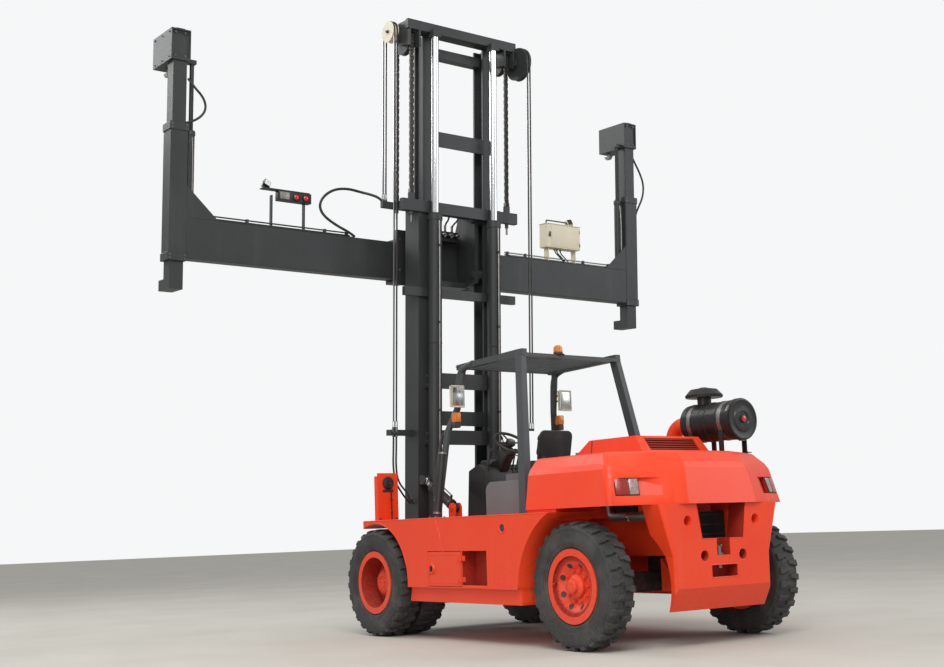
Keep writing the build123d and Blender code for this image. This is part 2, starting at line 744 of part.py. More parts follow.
with BuildPart(ground) as tail_pipe:
    tube(ground, [(wing_out_x + 18, 600, 1040), (0, 600, 1040), (200, 440, 1170), (200, rail_inner, 1170)], 38, 90)
keep(tail_pipe, "tail_pipe")

# Overhead guard: splayed rear posts and bent front posts under a barred roof

roof_rear_x = 1110.0
roof_front_x = 2150.0
roof_low_z = 2540.0
roof_high_z = 2600.0
roof_half = 600.0
mirror_x = 2084.0
signal_x = 2150.0
with BuildPart(ground) as guard:
    for s in (1, -1):
        tube(ground, [
            (2070, s * 572, 2560), (2150, s * 600, 2150), (2235, s * 670, 1920), (2256, s * 806, deck_z - 40),
        ], 32, 200)
        block((2150, 2350), (s * 700, s * 900), (deck_z - 100, deck_z), mode=Mode.SUBTRACT)
        # Arms of the mirror and of the signal lamp
        rod(ground, (mirror_x, s * 590, 2300), (mirror_x, s * 680, 2300), 9)
        rod(ground, (2200, s * 645, 2010), (signal_x, s * 645, 2010), 9)
        with BuildSketch(plan(ground, deck_z)) as foot:
            with Locations((930, s * 770)):
                Rectangle(95, 70)
        with BuildSketch(plan(ground, roof_high_z - 10)) as head:
            with Locations((roof_rear_x + 60, s * 572)):
                Rectangle(95, 56)
        loft([foot.sketch, head.sketch], ruled=True)
        plate(ground, s * (roof_half - 56), s * 56, [
            (roof_rear_x, roof_low_z), (roof_front_x, roof_low_z - 20), (roof_front_x, roof_low_z + 30),
            (roof_rear_x + 80, roof_high_z), (roof_rear_x, roof_high_z),
        ])
    for x in (roof_rear_x + 30, roof_front_x - 30):
        block((x - 30, x + 30), (-roof_half + 20, roof_half - 20), (roof_low_z - 10, roof_low_z + 25))
    for number in range(8):
        x = roof_rear_x + 115 + number * 112
        block((x - 8, x + 8), (-roof_half + 50, roof_half - 50), (roof_low_z - 5, roof_low_z + 30))
keep(guard, "guard")

# Operator's place

with BuildPart(ground) as floor_plate:
    block((1260, 2560), (-rail_inner, rail_inner), (frame_top_z - 20, deck_z))
    block((1050, 2560), (-rail_outer, rail_outer), (frame_top_z, deck_z))
keep(floor_plate, "floor_plate")

cover_top_z = 1410.0
cover_half = 688.0
cover_front_x = 1620.0
seat_x = 1400.0
seat_half = 205.0
seat_low_z = 1500.0
seat_back_z = 1900.0
with BuildPart(ground) as seat_covers:
    block((660, cover_front_x), (-cover_half, cover_half), (deck_z, cover_top_z))
    fillet(seat_covers.edges().filter_by(lambda edge: edge.center().X > axle_x + cover_front_x - 1
                                         and edge.center().Z > cover_top_z - 1), 90)
    block((640, cover_front_x - 20), (20 - cover_half, cover_half - 20), (deck_z - 1, cover_top_z - 20 - 60),
          mode=Mode.SUBTRACT)
    block((640, cover_front_x - 110), (20 - cover_half, cover_half - 20), (cover_top_z - 100, cover_top_z - 20),
          mode=Mode.SUBTRACT)
    block((1500, 1880), (-250, 250), (deck_z, cover_top_z - 10))
    block((1300, 1880), (-250, 250), (cover_top_z - 20, seat_low_z))
    for s in (1, -1):
        block((708, 745), (s * 312, s * 330), (cover_top_z - 20, lid_hinge[1] + 15))
        rod(ground, (lid_hinge[0], s * 255, lid_hinge[1]), (lid_hinge[0], s * 330, lid_hinge[1]), 6)
keep(seat_covers, "seat_covers")

with BuildPart(ground) as seat:
    block((seat_x, seat_x + 460), (-seat_half, seat_half), (seat_low_z + seat_gap, seat_low_z + 110))
    plate(ground, seat_half, -2 * seat_half, [
        (seat_x, seat_low_z + 80), (seat_x + 130, seat_low_z + 80), (seat_x + 60, seat_back_z),
        (seat_x - 30, seat_back_z),
    ])
    back_corners = seat.edges().filter_by(lambda edge: abs(abs(edge.center().Y) - seat_half) < 1
                                          and edge.center().Z > seat_back_z - 1)
    fillet(back_corners, 22)
    fillet(seat.edges().filter_by(lambda edge: edge.center().Z > seat_back_z - 1 and edge.length > seat_half), 20)
    rod(ground, (seat_x + 230, seat_half + 6, seat_low_z + 20), (seat_x + 330, seat_half + 6, seat_low_z + 20), 8)
keep(seat, "seat")

dash_half = 240.0
lever_ys = (-215.0, -165.0, -115.0, 190.0)
dash_outline = ((2200, deck_z), (2540, deck_z), (2500, 1560), (2340, 1620), (2240, 1560))
with BuildPart(ground) as dash:
    plate(ground, dash_half, -2 * dash_half, dash_outline)
    # hand levers: foot and knob
    for y in lever_ys:
        rod(ground, (2260, y, 1540), (2190, y, 1730), 8)
        rod(ground, (2190, y, 1725), (2176, y, 1763), 17)
    # pedals
    for y in (-150, 120, 190):
        rod(ground, (2230, y, 1250), (2120, y, 1190), 9)
        block((2105, 2125), (y - 30, y + 30), (1160, 1230))
keep(dash, "dash")

wheel_hub = (2110.0, 0.0, 1820.0)
column_foot = (2290.0, 0.0, 1580.0)
hand_wheel_r = 175.0
rim_bar = 13.0
with BuildPart(ground) as steering_wheel:
    aim = (Vector(*wheel_hub) - Vector(*column_foot)).normalized()
    rod(ground, column_foot, tuple(Vector(*wheel_hub) + aim * 14), 26)
    plate(ground, 40, -80, dash_outline, mode=Mode.SUBTRACT)
    turned(ground, wheel_hub, tuple(aim), [
        (-rim_bar, hand_wheel_r - 6), (-rim_bar, hand_wheel_r + 6), (-6, hand_wheel_r + rim_bar),
        (6, hand_wheel_r + rim_bar), (rim_bar, hand_wheel_r + 6), (rim_bar, hand_wheel_r - 6),
        (6, hand_wheel_r - rim_bar), (-6, hand_wheel_r - rim_bar),
    ])
    across = Vector(0, 1, 0)
    for spoke in (across, across * -1, across.cross(aim)):
        rod(ground, wheel_hub, tuple(Vector(*wheel_hub) + spoke * (hand_wheel_r - 4)), 8)
keep(steering_wheel, "steering_wheel")

# Lamps and mirrors

beacon_y = 150.0
with BuildPart(ground) as truck_lamps:
    for s in (1, -1):
        turned(ground, (upright_x, s * lamp_y, lamp_z), (1, 0, 0), [
            (-30, 0), (-30, 40), (-8, 55), (8, 56), (8, 74), (60, 92), (85, 80), (85, 0),
        ])
        width, height = tail_lamp
        facet_block(facet_plane(s), width - 2 * seat_gap, height - 2 * seat_gap, -32, -5)
    turned(ground, (roof_rear_x + 30, beacon_y, roof_low_z + 25), (0, 0, 1), [
        (0, 0), (0, 42), (16, 44), (70, 40), (88, 22), (88, 0),
    ])
keep(truck_lamps, "truck_lamps")

with BuildPart(ground) as mirrors:
    for s in (1, -1):
        block((mirror_x - 45, mirror_x - 9 - seat_gap), (s * 600, s * 745), (2152, 2352))
        block((signal_x - 60, signal_x - seat_gap), (s * 615, s * 675), (1960, 2060))
keep(mirrors, "mirrors")

# Outer mast

cross_rear_x = rail_rear_x - 30.0
cross_front_x = rail_rear_x + outer_flange
barrel_clear = 4.0
with BuildPart(mast) as outer_mast:
    for s in (1, -1):
        with BuildSketch(plan(mast, outer_low_z)):
            with BuildLine():
                Polyline(
                    (rail_rear_x, s * outer_in_y), (rail_rear_x, s * outer_out_y), (rail_front_x, s * outer_out_y),
                    (rail_front_x, s * outer_in_y), (rail_front_x - outer_flange, s * outer_in_y),
                    (rail_front_x - outer_flange, s * (outer_out_y - outer_web)),
                    (rail_rear_x + outer_flange, s * (outer_out_y - outer_web)),
                    (rail_rear_x + outer_flange, s * outer_in_y), close=True,
                )
            make_face()
        extrude(amount=outer_top_z - outer_low_z)
        # Trunnion lug and its pin
        block((pivot_x - 45, cross_front_x), (s * (rail_outer + 8 + run_gap), s * (outer_in_y + 5)), (440, 610))
        pin_in, pin_out = (s * rail_inner, s * outer_in_y)
        rod(mast, (pivot_x, pin_in, pivot_z), (pivot_x, pin_out, pivot_z), pivot_r)
        # Seat of the lift cylinder
        block((lift_x - 67, rail_rear_x), (s * 312, s * outer_out_y), (barrel_low_z - 40, barrel_low_z))
        # Lugs for the tilt cylinder's rod, with its pin
        x, z = tilt_eye
        for y in (tilt_y - tilt_eye_half - 3 - 15, tilt_y + tilt_eye_half + 3):
            block((x, rail_rear_x + 5), (s * y, s * (y + 15)), (z - 45, z + 45))
            rod(mast, (x, s * y, z), (x, s * (y + 15), z), 45)
        rod(mast, (x, s * (tilt_y - 30), z), (x, s * (tilt_y + 30), z), tilt_eye_r)
        # Chain anchors on the ends of the upper band
        block((sheave_x - chain_run_r - 20, sheave_x - chain_run_r + 20), (s * 590, s * 650), (4380, chain_foot_z))
    # height of the foot, height of the top, half width
    for low, high, half in ((1860, 2010, 450), (2440, 2600, 450), (3385, 3475, 710), (4270, 4390, 745)):
        block((cross_rear_x, cross_front_x), (-outer_in_y, outer_in_y), (low, high))
        block((cross_rear_x, rail_rear_x + 2), (-half, half), (low, high))
        if half > outer_out_y:
            for s in (1, -1):
                block((cross_rear_x, cross_front_x), (s * outer_out_y, s * half), (low, high))
    block((cross_front_x - 20, rail_front_x), (-outer_in_y, outer_in_y), (outer_low_z, 400))
    block((rail_rear_x, rail_front_x), (-outer_out_y, outer_out_y), (outer_low_z, outer_low_z + 20))
    # Arm of the hose clamp
    block((left_pulley[0] - 110, left_pulley[0] - 15), (outer_out_y, 800), (hose_clamp_z - 60, hose_clamp_z))
    for s in (1, -1):
        foot, head = (lift_x, s * lift_y, barrel_low_z), (lift_x, s * lift_y, barrel_top_z)
        rod(mast, foot, head, barrel_r + barrel_clear, mode=Mode.SUBTRACT)
        head, top = (lift_x, s * lift_y, barrel_top_z - 1), (lift_x, s * lift_y, outer_top_z + 1)
        rod(mast, head, top, lift_rod_r + run_gap, mode=Mode.SUBTRACT)
keep(outer_mast, "outer_mast")

with BuildPart(mast) as lift_barrels:
    for s in (1, -1):
        foot, head = (lift_x, s * lift_y, barrel_low_z), (lift_x, s * lift_y, barrel_top_z)
        rod(mast, foot, head, barrel_r)
        bore_foot = (lift_x, s * lift_y, barrel_low_z + 15)
        rod(mast, bore_foot, (lift_x, s * lift_y, barrel_top_z + 1), lift_rod_r + pin_fit, mode=Mode.SUBTRACT)
keep(lift_barrels, "lift_barrels")

with BuildPart(mast) as lift_rods:
    for s in (1, -1):
        rod(mast, (lift_x, s * lift_y, lift_rod_low_z), (lift_x, s * lift_y, lift_rod_top_z), lift_rod_r)
keep(lift_rods, "lift_rods")

# Inner mast

head_half = 709.0
head_rear_x = rail_rear_x - 69.0
head_front_x = rail_rear_x + 90.0
head_top_z = inner_top_z + 100.0
fork_in_y = sheave_y - 50.0
fork_out_y = sheave_y + 50.0
fork_wall = 22.0
with BuildPart(mast) as inner_mast:
    for s in (1, -1):
        block((inner_rear_x, inner_front_x), (s * inner_web_y, s * (inner_web_y + inner_web)), (inner_low_z, inner_top_z))
        for x in (inner_rear_x, inner_front_x - inner_flange):
            block((x, x + inner_flange), (s * inner_in_y, s * inner_out_y), (inner_low_z, inner_top_z))
        # Pads over the lift rods
        block((lift_x - 47, head_rear_x + 30), (s * 330, s * 430), (lift_rod_top_z, inner_top_z + 20))
        # Fork plates for the chain sheave, its pin and the hose pulley's pin
        for y in (fork_in_y - fork_wall, fork_out_y):
            plate(mast, s * y, s * fork_wall, [
                (head_rear_x, sheave_z - 100), (sheave_x, sheave_z - 60), (sheave_x + 90, sheave_z + 40),
                (sheave_x + 90, sheave_z + 130), (sheave_x + 30, head_top_z),
                (head_rear_x, head_top_z),
            ])
        pin_in, pin_out = (s * (fork_in_y - fork_wall), s * (fork_out_y + fork_wall))
        rod(mast, (sheave_x, pin_in, sheave_z), (sheave_x, pin_out, sheave_z), 25)
    block((head_rear_x, head_front_x), (-fork_in_y, fork_in_y), (inner_top_z, head_top_z))
    block((head_rear_x, head_rear_x + 44), (-head_half, head_half), (inner_top_z, head_top_z))
    block((sheave_x - 40, inner_front_x), (-inner_in_y - 5, inner_in_y + 5), (inner_top_z - 190, inner_top_z - 90))
    for low, high in ((inner_low_z + 40, inner_low_z + 190), (inner_top_z - 1180, inner_top_z - 1020)):
        block((inner_rear_x, inner_rear_x + inner_flange), (-inner_in_y, inner_in_y), (low, high))
    x, y, z = left_pulley
    rod(mast, (x, fork_out_y, z), (x, y + pulley_half + 4, z), 16)
    x, y, z = right_pulley
    plate(mast, -fork_out_y, -fork_wall, [(x - 35, z - 35), (head_rear_x + 60, z - 35), (head_rear_x + 60, z + 50),
                                          (x - 35, z + 35)])
    rod(mast, (x, -fork_out_y, z), (x, y - pulley_half - 4, z), 16)
keep(inner_mast, "inner_mast")

with BuildPart(mast) as sheaves:
    for s in (1, -1):
        half = (fork_out_y - fork_in_y) / 2 - seat_gap
        groove = chain_run_r - chain_wall / 2 - seat_gap
        turned(mast, (sheave_x, s * sheave_y, sheave_z), (0, 1, 0), [
            (-half, 25 + pin_fit), (-half, 48), (-30, 48), (-30, groove + 16), (-24, groove + 16), (-24, groove),
            (24, groove), (24, groove + 16), (30, groove + 16), (30, 48), (half, 48), (half, 25 + pin_fit),
        ])
    # centre, radius, half width
    for centre, radius, half in ((left_pulley, left_pulley_r, pulley_half), (right_pulley, right_pulley_r, pulley_half)):
        turned(mast, centre, (0, 1, 0), [
            (-half, 16 + pin_fit), (-half, radius), (-half + 4, radius), (-half + 8, radius - 14),
            (half - 8, radius - 14), (half - 4, radius), (half, radius), (half, 16 + pin_fit),
        ])
keep(sheaves, "sheaves")

# Chains and taut hoses: the rear strands end on the outer mast, the front strands on the carriage

left_hose_y = (left_pulley[1] - hose_pitch / 2, left_pulley[1] + hose_pitch / 2)
right_hose_y = (right_pulley[1] - hose_pitch / 2, right_pulley[1] + hose_pitch / 2)
left_run = left_pulley_r - 14 + hose_r + seat_gap
right_run = right_pulley_r - 14 + hose_r + seat_gap
with BuildPart(mast) as rear_strands:
    for s in (1, -1):
        low_x = sheave_x - chain_run_r - chain_wall / 2
        width = (s * (sheave_y - chain_width / 2), s * (sheave_y + chain_width / 2))
        block((low_x, low_x + chain_wall), width, (chain_foot_z, sheave_z))
    for y in left_hose_y:
        x = left_pulley[0] - left_run
        rod(mast, (x, y, hose_clamp_z), (x, y, left_pulley[2]), hose_r)
    for y in right_hose_y:
        x = right_pulley[0] - right_run
        rod(mast, (x, y, hose_clamp_z), (x, y, right_pulley[2]), hose_r)
keep(rear_strands, "rear_strands")

with BuildPart(mast) as front_strands:
    for s in (1, -1):
        low_x = sheave_x + chain_run_r - chain_wall / 2
        width = (s * (sheave_y - chain_width / 2), s * (sheave_y + chain_width / 2))
        block((low_x, low_x + chain_wall), width, (arm_top_z, sheave_z))
    for y in left_hose_y:
        x = left_pulley[0] + left_run
        rod(mast, (x, y, arm_top_z), (x, y, left_pulley[2]), hose_r)
keep(front_strands, "front_strands")

# Carriage

plate_out_y = 296.0
plate_wall = 46.0
roller_r = (inner_front_x - inner_rear_x) / 2 - inner_flange - run_gap
roller_x = (inner_rear_x + inner_front_x) / 2
carriage_rear_x = inner_rear_x + 40 + run_gap
hook_wall = 30.0
with BuildPart(mast) as carriage:
    for s in (1, -1):
        plate(mast, s * (plate_out_y - plate_wall), s * plate_wall, [
            (carriage_rear_x, carriage_low_z + 40), (carriage_front_x - 170, carriage_low_z),
            (carriage_front_x, carriage_low_z),
            (carriage_front_x, 4150), (carriage_front_x - 100, carriage_high_z), (carriage_rear_x, carriage_high_z),
        ])
        for z in (carriage_low_z + 130, carriage_high_z - 130):
            rod(mast, (roller_x, s * plate_out_y, z), (roller_x, s * (inner_web_y - run_gap), z), roller_r)
    block((carriage_front_x - 200, carriage_front_x - 155), (-670, 800), (arm_top_z - 70, arm_top_z))
    block((carriage_front_x - 200, carriage_front_x), (-plate_out_y, plate_out_y),
          (carriage_low_z, carriage_low_z + 60))
    block((carriage_front_x - 45, carriage_front_x), (-520, 520), (carriage_low_z, 4150))
    # Hooks over and under the spreader's beam
    for s in (1, -1):
        near, far = (s * 330, s * 480)
        front = beam_rear_x + beam_depth + run_gap
        block((carriage_front_x - 20, front + 22), (near, far), (beam_high_z + run_gap, beam_high_z + run_gap + hook_wall))
        block((front, front + 22), (near, far), (beam_high_z - 40, beam_high_z + run_gap + hook_wall))
        block((carriage_front_x - 20, front + 22), (near, far), (beam_low_z - run_gap - hook_wall, beam_low_z - run_gap))
        block((front, front + 22), (near, far), (beam_low_z - run_gap - hook_wall, beam_low_z + 40))
        block((carriage_front_x, beam_rear_x - seat_gap), (near, far), (beam_low_z + 60, beam_high_z - 60))
keep(carriage, "carriage")

# Spreader beam with its columns

beam_front_x = beam_rear_x + beam_depth
column_in_y = spreader_half - collar_width
leg_x = beam_rear_x + (beam_depth - leg_depth) / 2
leg_y = spreader_half - collar_width / 2 - leg_width / 2
cylinder_y = column_in_y - 50.0
cylinder_x = beam_rear_x + beam_depth / 2
cylinder_r = 40.0
leg_rod_r = 22.0
leg_barrel_z = (beam_high_z + 60.0, 4900.0)
with BuildPart(mast) as spreader_beam:
    end = column_in_y + sleeve_inset
    block((beam_rear_x, beam_front_x), (-end, end), (beam_low_z, beam_high_z))
    wall = beam_wall
    block((beam_rear_x + wall, beam_front_x - wall), (-end, end), (beam_low_z + wall, beam_high_z - wall),
          mode=Mode.SUBTRACT)
    for s in (1, -1):
        block((beam_rear_x, beam_front_x), (s * end, s * (spreader_half - sleeve_inset)), (column_low_z, column_high_z))
        for low in (column_low_z, column_high_z - collar_height):
            block((beam_rear_x - 8, beam_front_x + 8), (s * column_in_y, s * spreader_half), (low, low + collar_height))
        # Bracket under the leg's cylinder, and the gusset over the beam
        block((cylinder_x - 40, cylinder_x + 40), (s * (cylinder_y - 45), s * end), (beam_high_z, leg_barrel_z[0]))
        with BuildSketch(section(mast, beam_rear_x)):
            with BuildLine():
                Polyline((s * (end - 330), beam_high_z), (s * end, beam_high_z), (s * end, 4340), close=True)
            make_face()
        extrude(amount=16)
        inner_y = (s * (column_in_y + 22), s * (spreader_half - 22))
        block((leg_x - 6, leg_x + leg_depth + 6), inner_y,
              (column_low_z + collar_height, column_high_z - collar_height), mode=Mode.SUBTRACT)
        block((leg_x - seat_gap, leg_x + leg_depth + seat_gap),
              (s * (leg_y - seat_gap), s * (leg_y + leg_width + seat_gap)),
              (column_low_z - 1, column_high_z + 1), mode=Mode.SUBTRACT)
    # Feet of the lamp bar's posts
    for y in (1550, 1920):
        block((cylinder_x - 30, cylinder_x + 30), (y - 25, y + 25), (beam_high_z, beam_high_z + 12))
        block((cylinder_x - 20, cylinder_x + 20), (y - 8, y + 8), (beam_high_z, 4380))
keep(spreader_beam, "spreader_beam")

with BuildPart(mast) as leg_barrels:
    for s in (1, -1):
        foot, head = (cylinder_x, s * cylinder_y, leg_barrel_z[0]), (cylinder_x, s * cylinder_y, leg_barrel_z[1])
        rod(mast, foot, head, cylinder_r)
        bore = (cylinder_x, s * cylinder_y, leg_barrel_z[0] + 15)
        rod(mast, bore, (cylinder_x, s * cylinder_y, leg_barrel_z[1] + 1), leg_rod_r + pin_fit, mode=Mode.SUBTRACT)
keep(leg_barrels, "leg_barrels")

lock_r = 19.0
box_wall = 14.0
box_y = (spreader_half - collar_width, spreader_half)
for side, s in sides:
    with BuildPart(mast) as leg:
        block((leg_x, leg_x + leg_depth), (s * leg_y, s * (leg_y + leg_width)), (leg_low_z, box_high_z - 40))
        block((leg_x, foot_reach_x), (s * leg_y, s * (leg_y + leg_width)), (leg_low_z, leg_low_z + 104))
        # Box over the container's corner, open at the rear
        block((beam_rear_x, box_front_x), (s * box_y[0], s * box_y[1]), (box_low_z, box_high_z))
        block(
            (leg_x + leg_depth, box_front_x - box_wall), (s * (box_y[0] + box_wall), s * (box_y[1] - box_wall)),
            (box_low_z + 30, box_high_z - box_wall), mode=Mode.SUBTRACT,
        )
        block(
            (beam_rear_x - 1, leg_x), (s * (box_y[0] + box_wall), s * (box_y[1] - box_wall)),
            (box_low_z + 30, box_high_z - box_wall), mode=Mode.SUBTRACT,
        )
        rod(mast, (lock_x, s * lock_y, box_low_z - 1), (lock_x, s * lock_y, box_low_z + 31), lock_r + pin_fit,
            mode=Mode.SUBTRACT)
        # Rod of the leg's cylinder under its lug
        block((cylinder_x - 35, cylinder_x + 35), (s * (cylinder_y - 35), s * box_y[0]), (box_low_z, box_low_z + 40))
        rod(mast, (cylinder_x, s * cylinder_y, 4420), (cylinder_x, s * cylinder_y, box_low_z), leg_rod_r)
    keep(leg, f"leg_{side}")

    with BuildPart(mast) as twistlock:
        rod(mast, (lock_x, s * lock_y, box_low_z - 75), (lock_x, s * lock_y, box_low_z + 60), lock_r)
        with BuildSketch(plan(mast, box_low_z - 75)) as low_head:
            with Locations((lock_x, s * lock_y)):
                Rectangle(60, 40)
        with BuildSketch(plan(mast, box_low_z - 40)) as high_head:
            with Locations((lock_x, s * lock_y)):
                Rectangle(100, 56)
        loft([low_head.sketch, high_head.sketch], ruled=True)
        rod(mast, (lock_x, s * lock_y, box_low_z + 30 + seat_gap), (lock_x, s * lock_y, box_low_z + 60), 32)
        block((lock_x - 52, lock_x), (s * lock_y - 10, s * lock_y + 10), (box_low_z + 40, box_low_z + 56))
    keep(twistlock, f"twistlock_{side}")

lamp_x = (beam_rear_x + 20, beam_rear_x + 120)
with BuildPart(mast) as spreader_lamps:
    block((cylinder_x - 45, cylinder_x + 45), (1500, 2030), (4380, 4440))
    for y in (1600, 1800):
        turned(mast, (cylinder_x, y, 4440), (0, 0, 1), [(0, 0), (0, 52), (70, 52), (95, 30), (95, 0)])
    rod(mast, (cylinder_x - 30, 1990, 4480), (cylinder_x + 30, 1990, 4480), 34)
    block((cylinder_x - 15, cylinder_x + 15), (1975, 2005), (4440, 4480))
keep(spreader_lamps, "spreader_lamps")

with BuildPart(mast) as control_box:
    for y in (-2080, -1670):
        block((cylinder_x - 40, cylinder_x + 40), (y - 8, y + 8), (beam_high_z, 4210))
    block((cylinder_x - 70, cylinder_x + 70), (-2130, -1620), (4200, 4480))
keep(control_box, "control_box")

# Cylinders that tilt the mast

lean_eye = mast.from_local_coords(Vector(tilt_eye[0], 0, tilt_eye[1]))
eye_x, eye_z = (lean_eye.X - axle_x, lean_eye.Z)
span = Vector(eye_x - tilt_anchor[0], 0, eye_z - tilt_anchor[1])
reach_dir = span.normalized()
tilt_plane = Plane(
    origin=ground.from_local_coords((tilt_anchor[0], 0, tilt_anchor[1])),
    x_dir=reach_dir,
    z_dir=reach_dir.cross(Vector(0, 1, 0)),
)
tilt_barrel_r = 48.0
tilt_rod_r = 25.0
barrel_length = span.length - 150.0
rod_start = 180.0
neck_length = 60.0
for side, s in sides:
    y = s * tilt_y
    with BuildPart(tilt_plane) as tilt_barrel:
        rod(tilt_plane, (0, y - 24, 0), (0, y + 24, 0), 42)
        rod(tilt_plane, (30, y, 0), (neck_length + 10, y, 0), 22)
        rod(tilt_plane, (neck_length, y, 0), (barrel_length, y, 0), tilt_barrel_r)
        rod(tilt_plane, (rod_start - 60, y, 0), (barrel_length + 1, y, 0), tilt_rod_r + pin_fit, mode=Mode.SUBTRACT)
        rod(tilt_plane, (0, y - 30, 0), (0, y + 30, 0), tilt_anchor_r + pin_fit, mode=Mode.SUBTRACT)
    keep(tilt_barrel, f"tilt_barrel_{side}")

    with BuildPart(tilt_plane) as tilt_rod:
        rod(tilt_plane, (rod_start, y, 0), (span.length - 52, y, 0), tilt_rod_r)
        rod(tilt_plane, (span.length - 54, y, 0), (span.length - 20, y, 0), tilt_eye_half - 1)
        rod(tilt_plane, (span.length, y - tilt_eye_half, 0), (span.length, y + tilt_eye_half, 0), 36)
        rod(tilt_plane, (span.length, y - 20, 0), (span.length, y + 20, 0), tilt_eye_r + 3, mode=Mode.SUBTRACT)
    keep(tilt_rod, f"tilt_rod_{side}")
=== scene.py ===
import math

import bmesh
import bpy
from mathutils import Matrix, Vector


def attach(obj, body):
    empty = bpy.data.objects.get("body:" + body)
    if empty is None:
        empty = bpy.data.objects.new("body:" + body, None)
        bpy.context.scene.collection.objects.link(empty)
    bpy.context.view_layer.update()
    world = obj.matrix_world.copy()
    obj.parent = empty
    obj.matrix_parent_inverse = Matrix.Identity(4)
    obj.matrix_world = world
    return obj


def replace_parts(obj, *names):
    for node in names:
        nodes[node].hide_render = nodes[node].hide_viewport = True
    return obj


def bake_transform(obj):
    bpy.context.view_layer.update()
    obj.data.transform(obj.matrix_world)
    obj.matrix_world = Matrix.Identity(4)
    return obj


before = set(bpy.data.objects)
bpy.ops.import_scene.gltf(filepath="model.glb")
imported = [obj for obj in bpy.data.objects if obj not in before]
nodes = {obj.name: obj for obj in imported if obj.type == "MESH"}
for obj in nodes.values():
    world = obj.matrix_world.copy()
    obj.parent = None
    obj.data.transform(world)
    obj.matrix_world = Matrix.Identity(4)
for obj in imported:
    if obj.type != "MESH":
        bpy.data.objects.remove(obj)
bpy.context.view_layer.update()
print("frame loaded")

# Stations run from the rear axle, in metres; the mast leans back about its trunnion.
axleX = -1.534386
wheelbase, axleZ = 2.830, 0.509
trunnionX, trunnionZ = 3.005, 0.520
leanAngle = math.radians(2.95)
bothSides = (("left", 1), ("right", -1))

pivot = Vector((trunnionX, 0, trunnionZ))
groundMove = Matrix.Translation((axleX, 0, 0))
leanTurn = (Matrix.Translation(pivot + Vector((axleX, 0, 0))) @ Matrix.Rotation(-leanAngle, 4, "Y")
            @ Matrix.Translation(-pivot))


def onGround(x, y, z):
    return groundMove @ Vector((x, y, z))


def onMast(x, y, z):
    return leanTurn @ Vector((x, y, z))


# Materials

class Flow:
    # a shader socket with the usual arithmetic
    def __init__(self, tree, socket):
        self.tree, self.socket = tree, socket

    def node(self, kind, settings=None, inputs=None, out=0):
        made = self.tree.nodes.new(kind)
        for key, value in (settings or {}).items():
            if key == "stops":
                ramp = made.color_ramp
                while len(ramp.elements) < len(value):
                    ramp.elements.new(1.0)
                for element, (place, colour) in zip(ramp.elements, value):
                    element.position = place
                    element.color = (*colour, 1.0)
            else:
                setattr(made, key, value)
        for key, value in (inputs or {}).items():
            if isinstance(value, Flow):
                self.tree.links.new(value.socket, made.inputs[key])
            elif value is not None:
                made.inputs[key].default_value = value
        return Flow(self.tree, made.outputs[out])

    def maths(self, operation, first, second=0.0, clamp=False):
        return self.node("ShaderNodeMath", {"operation": operation, "use_clamp": clamp},
                         {0: first, 1: second})

    def __add__(self, other):
        return self.maths("ADD", self, other)

    def __radd__(self, other):
        return self.maths("ADD", other, self)

    def __sub__(self, other):
        return self.maths("SUBTRACT", self, other)

    def __rsub__(self, other):
        return self.maths("SUBTRACT", other, self)

    def __mul__(self, other):
        return self.maths("MULTIPLY", self, other)

    def below(self, other):
        return self.maths("MINIMUM", self, other)

    def ramp(self, low, high):
        # 0 under low, 1 over high
        return self.node("ShaderNodeMapRange", {"clamp": True}, {0: self, 1: low, 2: high, 3: 0.0, 4: 1.0})

    def noise(self, scale, detail=3.0, rough=0.55, stretch=None):
        where = self
        if stretch:
            where = self.node("ShaderNodeVectorMath", {"operation": "MULTIPLY"}, {0: self, 1: stretch})
        return self.node("ShaderNodeTexNoise", {}, {"Vector": where, "Scale": scale, "Detail": detail,
                                                    "Roughness": rough})

    def part(self, axis):
        return self.node("ShaderNodeSeparateXYZ", {}, {0: self}, "XYZ".index(axis))

    def over(self, under, upper):
        # self is the mask
        return self.node("ShaderNodeMix", {"data_type": "RGBA"}, {0: self, 6: under, 7: upper}, 2)


def shade(colour):
    return (*colour, 1.0)


def startMaterial(name):
    material = bpy.data.materials.new(name)
    material.use_nodes = True
    tree = material.node_tree
    gloss = tree.nodes["Principled BSDF"]
    start = Flow(tree, None)
    place = start.node("ShaderNodeTexCoord", {}, {}, 3)
    return material, tree, gloss, place


def joinTo(tree, gloss, key, value):
    if isinstance(value, Flow):
        tree.links.new(value.socket, gloss.inputs[key])
    else:
        gloss.inputs[key].default_value = value


def bumpOf(place, height, strength, distance):
    return place.node("ShaderNodeBump", {}, {"Strength": strength, "Distance": distance, "Height": height})


enamelLook = {"dust": (0.42, 0.36, 0.30), "primer": (0.16, 0.13, 0.12)}


